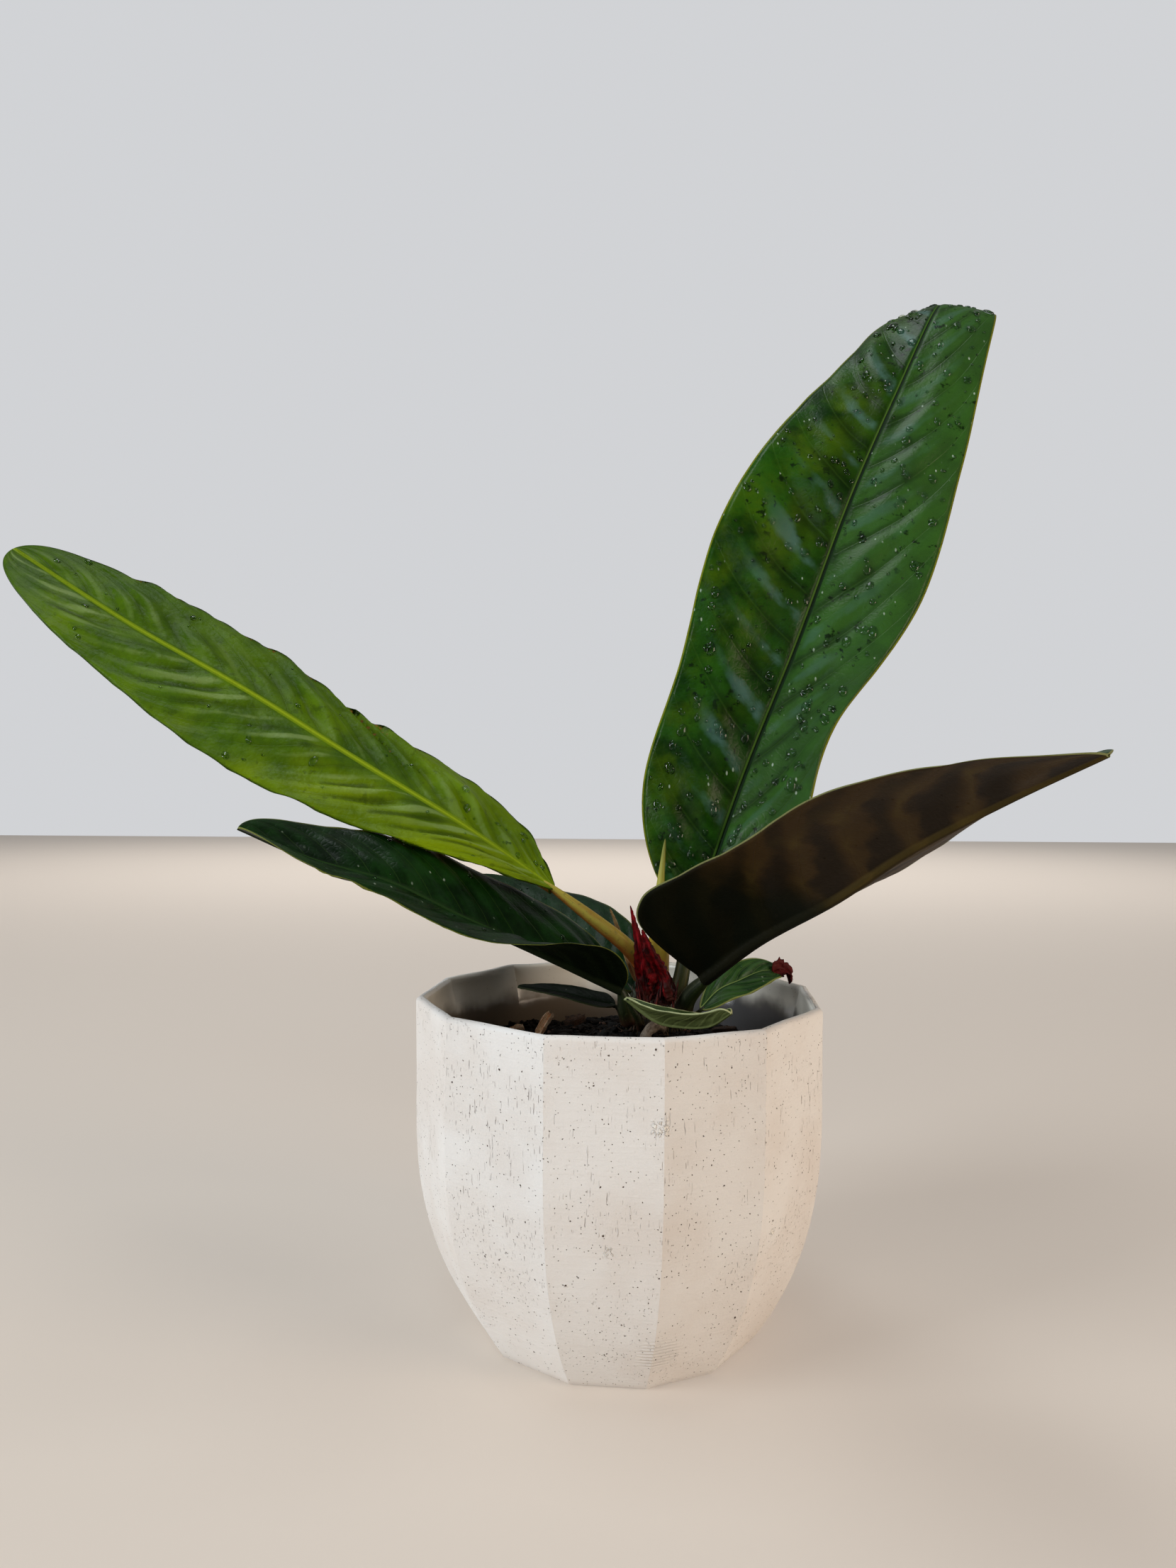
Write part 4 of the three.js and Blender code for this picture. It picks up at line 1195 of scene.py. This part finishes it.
    def lower_side(self):
        share, blotch, mottle = self.share, self.blotch, self.mottle
        shade, light, veins = self.look["under"]
        vein = self.vein + (blotch - 0.5) * 1.5 + (mottle - 0.5) * 0.35
        swell = abs((vein * math.pi).sine())
        # Painted shade darkens the hollows between the side veins beneath, at full strength on the
        # right leaf.
        hollow_shade = (swell * 0.75 + mottle * 0.8 + blotch * 0.6 - share * 0.35 - 0.9).ramp(-0.1, 0.45)
        self.side_veins = (swell + mottle * 0.9 - 0.45).ramp(0.7, 0.0) * share.ramp(0.92, 0.66)
        loops = abs(share - 0.52 - swell * 0.2 - mottle * 0.16).ramp(0.15, 0.0)
        net = (self.side_veins + loops * 0.6).ramp(0.1, 1.3)
        net = net * (blotch * 0.6 + mottle * 0.5).ramp(0.46, 0.7)
        washes = [(hollow_shade * (1 if self.name == "right" else 0.6), shade), (net * 0.5, veins),
                  (self.from_rib.ramp(2.6, 1.6) * 0.5, veins),
                  (self.from_rib.ramp(0.5, 0.1) * 0.5, shade)]
        # The right leaf's lower side is painted nearly black near its base, painted shade where it
        # meets the crown.
        if self.name == "right":
            foot = (self.along + share * 20 + (blotch - 0.5) * 50).ramp(92, 66)
            washes += [(foot * 0.9, (8, 13, 5))]
        if self.name == "young":
            washes += [(self.from_rib.ramp(3.2, 1.5) * 0.7, (158, 90, 38))]
        return self.washed(light, *washes)

    def fine_relief(self, beneath):
        wrinkles = self.vector(self.vein * 1.4, self.reach * 0.1, self.along * 0.02)
        wrinkles = self.clouds(wrinkles, 1.0, 3) * self.patches.ramp(0.36, 0.6)
        cells = self.cells(self.spot, 380, feature="DISTANCE_TO_EDGE").ramp(0.0, 0.25)
        grain = self.clouds(self.spot, 1500, 2)
        return (wrinkles * self.look.get("wrinkles", 0.6) + cells * 0.22 + grain * 0.12
                + self.streak * 0.45 * self.look["streaks"] + self.mottle * 0.35
                - self.line * 0.4 - self.side_veins * beneath * 0.6 + self.chalk * 0.5)


blades = {name: Blade(leaf, 10.0 * number)
          for number, (name, leaf) in enumerate(sorted(LEAVES.items()))}
for name, blade in blades.items():
    made = piece_from(blade.mesh(), name + "_blade",
                      LeafFinish(name, LEAF_LOOKS[name], LEAVES[name]))
    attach(made, "root")
    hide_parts(name + "_leaf_blade")
    name + "_leaf"


# Dried tip
# The small leaf on the right ends in a withered red scrap, the dead end of the blade itself,
# papery, ragged and curled over.
DRIED_TIP = dict(
    midrib=[(72, 17, 154), (75.5, 19, 154.6), (79, 20, 152.5), (80.5, 19.5, 147.5)],
    face=(0.1, -0.8, 0.5), left=[3.2, 4.6, 4.6, 3.6, 2], right=[3.2, 4.6, 5, 3.8, 2],
    turn=[0, 20, 50], rise_left=[20, 40, 50], rise_right=[10, 35, 60], thickness=1, rows=40,
    folds_across=6, fold=0.8, ragged=0.4)


class Flap(Blade):
    """A withered sheet, folded lengthwise, with a ragged edge."""

    def vein(self, across, place):
        return 0

    def relief(self, across, place, reach):
        leaf = self.leaf
        twist = noise.noise(Vector((across * 1.3, place * 3, self.seed)))
        folds = math.sin(across * leaf["folds_across"] + 3.5 * twist)
        crumple = noise.noise(Vector((across * 4, place * 9, self.seed)))
        return leaf["fold"] * (folds + 0.7 * crumple) * soft_step(place, 1, 0.85), 0

    def width(self, half, row):
        spot = Vector((row * 30 / self.rows, 5.0 * (half == "left"), self.seed))
        torn = noise.noise(spot) + 0.6 * noise.noise(spot * 2.6)
        return super().width(half, row) * (1 + self.leaf["ragged"] * torn)


def withered_finish(name, deep, body, fibre_tone_and_highlight, foot, fibre_count):
    finish = Finish(name, Specular_IOR_Level=0.18)
    around, _ = finish.skin()
    reach, along = finish.layer("reach"), finish.layer("along")
    fibres = finish.clouds(finish.vector(reach * fibre_count, along * 0.05, around), 1.0, 4, 0.6)
    blotch = finish.clouds(finish.place(), 210, 4, 0.6)
    # Some fibres are lighter, partly their own paler colour and partly painted highlights.
    colour = finish.washed(
        deep, ((fibres * 0.4 + blotch * 0.8).ramp(0.46, 0.78), body),
        (fibres.ramp(0.60, 0.78) * blotch.ramp(0.46, 0.62) * 0.7, fibre_tone_and_highlight),
        ((along + (blotch - 0.5) * 22).ramp(13, 3), foot))
    finish.surface(colour, 0.42 + 0.3 * blotch, fibres + 0.5 * blotch, 0.0005)
    return finish


dried_look = withered_finish("dried_tip", (40, 3, 5), (112, 8, 14), (150, 50, 42), (84, 16, 14), 1.5)
dried_tip = piece_from(Flap(DRIED_TIP, 91, 0.5).mesh(10), "dried_tip", dried_look)
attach(dried_tip, "root")


# Withered sheaths
# The papery bracts that wrapped each new leaf. Two red flaps stand in front of the crown,
# pleated, torn and turning brown at the foot, with shreds round their feet. A thin tan one
# stands behind.
SHEATH_THICKNESS = 0.5
SHEATHS = {
    "red_sheath_left": dict(
        midrib=[(10.5, -15, 145), (9.5, -15.5, 159), (7.5, -15.5, 172), (4, -15, 188)],
        face=(0.3, 0.9, 0.1), widths=[5.2, 5.6, 4.4, 2.6, 1.4, 0.6], rises=[30, 30, 20],
        folds_across=4.4, fold=1.9, ragged=0.22),
    "red_sheath_right": dict(
        midrib=[(21.5, -17, 145), (18, -18.5, 157), (13, -19.5, 168), (9, -18.5, 178)],
        face=(-0.3, 0.9, 0.1), widths=[6, 7, 6, 4.2, 2.2, 0.9], rises=[30, 30, 20],
        folds_across=4.8, fold=2.1, ragged=0.26),
    "dry_sheath": dict(
        midrib=[(8, 9, 150), (2, 8, 166), (-2, 7, 178), (-4.5, 6, 184)],
        face=(0, -1, 0), widths=[1.2, 1.4, 1.3, 0.9, 0.6, 0.4], rises=[20, 20, 10],
        folds_across=4, fold=0.2, ragged=0.15),
}
SHEATH_SHREDS = 26
red_look = withered_finish("red_sheath", (46, 0, 3), (150, 6, 18), (196, 44, 54), (56, 18, 10), 1.4)
tan_look = withered_finish("tan_sheath", (156, 116, 72), (226, 194, 144), (246, 226, 184),
                           (110, 78, 44), 3)
for number, (name, sheath) in enumerate(SHEATHS.items()):
    widths, rises = sheath["widths"], sheath["rises"]
    flap = Flap(dict(sheath, left=widths, right=widths, rise_left=rises, rise_right=rises,
                     turn=[0, 0, 0], thickness=1, rows=110), 60 + number, SHEATH_THICKNESS)
    red = name.startswith("red")
    made = piece_from(flap.mesh(16), name + "_flap", red_look if red else tan_look)
    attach(made, "root")
    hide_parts(name)

shreds = []
for _ in range(SHEATH_SHREDS):
    x, y, z = dice.uniform(7, 25), -16 + dice.uniform(-2, 2.5), dice.uniform(139, 150)
    lean, height = dice.uniform(-0.35, 0.35), dice.uniform(5, 15)
    path = []
    for step in range(STRAND_STEPS + 1):
        rise = height * step / STRAND_STEPS
        path.append((x + lean * rise, y - dice.uniform(0, 1.2), z + rise))
    girth = dice.uniform(0.3, 0.75)
    shreds.append(tube(path, [girth, girth, girth * 0.7, 0.12], rows=10, sides=6))
shred_look = Finish("sheath_shreds", Specular_IOR_Level=0.3)
shred_fibres = shred_look.clouds(shred_look.scaled(shred_look.place(), 1400, 1400, 220), 1.0, 3)
shred_colour = shred_look.washed((36, 10, 8), (shred_fibres.ramp(0.4, 0.62), (96, 24, 20)))
shred_look.surface(shred_colour, 0.6 + 0.2 * shred_fibres, shred_fibres, 0.0005, 0.8)
sheath_shreds = piece_from(joined(shreds), "sheath_shreds", shred_look)
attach(sheath_shreds, "root")


# New leaf
# The next leaf stands in the middle, still rolled up into a thin pale spear. One edge of the
# blade overlaps the other.
SPEAR_PATH = [(17, -6, 144), (17, -6, 166), (17.5, -5, 190), (20, -3, 217)]
SPEAR_WIDTHS = [3.6, 4.4, 4.6, 4.4, 3.4, 2.2, 1.3, 0.5]
# In turns: how far the seam winds round the spear, and where it starts.
SPEAR_SPIRAL = 0.25
SPEAR_SEAM = 0.15


def rolled(angle, along):
    """The overlapping edge runs up along a slow spiral."""
    turned = (angle / (2 * math.pi) + SPEAR_SPIRAL * along + SPEAR_SEAM) % 1
    return 0.9 + 0.18 * turned ** 1.5


spear_look = Finish("rolled_leaf", Specular_IOR_Level=0.4)
around, length_share = spear_look.skin()
lines = spear_look.clouds(spear_look.vector(around * 20, length_share * 1.5), 1.0, 3)
blotch = spear_look.clouds(spear_look.place(), 130, 3)
# A dark line runs along the overlapping edge, painted shade under its step.
shaded_seam = abs(around + length_share * SPEAR_SPIRAL + SPEAR_SEAM - 1).ramp(0.05, 0.01)
pale = spear_look.washed(
    (206, 152, 44), ((length_share + (blotch - 0.5) * 0.4).ramp(0.1, 0.7), (176, 170, 60)),
    (length_share.ramp(0.74, 1.0) * 0.7, (84, 98, 26)),
    (lines.ramp(0.54, 0.70) * 0.5, (112, 96, 30)), (shaded_seam * 0.8, (60, 50, 18)))
spear_look.surface(pale, 0.34 + 0.2 * blotch, lines - shaded_seam, 0.0004, 0.7)
rolled_leaf = piece_from(tube(SPEAR_PATH, SPEAR_WIDTHS, 90, 44, rolled), "rolled_new_leaf",
                         spear_look)
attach(rolled_leaf, "root")
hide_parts("new_leaf_spear")


# Water drops
# The plant was misted: clear drops stand on the leaves, most of them on the upright one.
# Each is a low dome that has run a little way down the blade.
WATER_INDEX = 1.33
# As shares of a drop's radius: its height, how far it sinks in, and how uneven it is.
DROP_HEIGHT = 0.42
DROP_SINK = 0.05
DROP_UNEVEN = 0.1
DROP_LONGEST = 1.7
# The bare strips beside the midrib and along the margin, in millimetres.
DRY_AT_MIDRIB = 1.5
DRY_AT_MARGIN = 0.8
# For each leaf: how many drops are tried, and their smallest and largest radius.
DROPS = {
    "upright": (520, 0.6, 2.5), "young": (50, 0.6, 1.9), "left": (30, 0.4, 1.4),
    "back": (14, 0.4, 1.0), "right": (40, 0.4, 1.3), "small_front": (5, 0.4, 1.1),
    "small_right": (8, 0.35, 0.9),
}


def add_drop(mesh, blade, smallest, largest):
    """One drop on a blade's upper side, or none where the blade is too narrow for it."""
    row = dice.randint(int(blade.rows * 0.12), int(blade.rows * 0.86))
    across = dice.uniform(-0.93, 0.93)
    radius = smallest + (largest - smallest) * dice.random() ** 1.9
    width = blade.width("left" if across < 0 else "right", row)
    if (abs(across) * width < radius + DRY_AT_MIDRIB
            or (1 - abs(across)) * width < radius + DRY_AT_MARGIN):
        return
    here = blade.point(across, row, 1)[0]
    ahead = blade.point(across, row + 2, 1)[0] - here
    beside = blade.point(across + 0.04, row, 1)[0] - here
    normal = beside.cross(ahead).normalized()
    downhill = Vector((0, 0, -1)) + normal * normal.z
    downhill += 0.6 * Vector([dice.uniform(-1, 1) for _ in range(3)])
    downhill = (downhill - normal * downhill.dot(normal)).normalized()
    turned = Matrix((downhill, normal.cross(downhill), normal)).transposed().to_4x4()
    stretch = Matrix.Diagonal((radius * dice.uniform(1, DROP_LONGEST), radius,
                               radius * DROP_HEIGHT, 1))
    place = Matrix.Translation((here + normal * radius * DROP_SINK) * MM) @ turned @ stretch
    drop = bmesh.ops.create_icosphere(mesh, subdivisions=1 + (radius > 1), radius=MM, matrix=place)
    for vertex in drop["verts"]:
        vertex.co += normal * DROP_UNEVEN * radius * MM * noise.noise(vertex.co * 900)


water = Finish("water", Base_Color=(0.72, 0.86, 0.78, 1), Roughness=0.02, IOR=WATER_INDEX,
               Transmission_Weight=1.0)
for name, (count, smallest, largest) in DROPS.items():
    drop_mesh = scattered(count, lambda mesh: add_drop(mesh, blades[name], smallest, largest))
    drops = piece_from(drop_mesh, name + "_drops", water)
    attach(drops, "root")
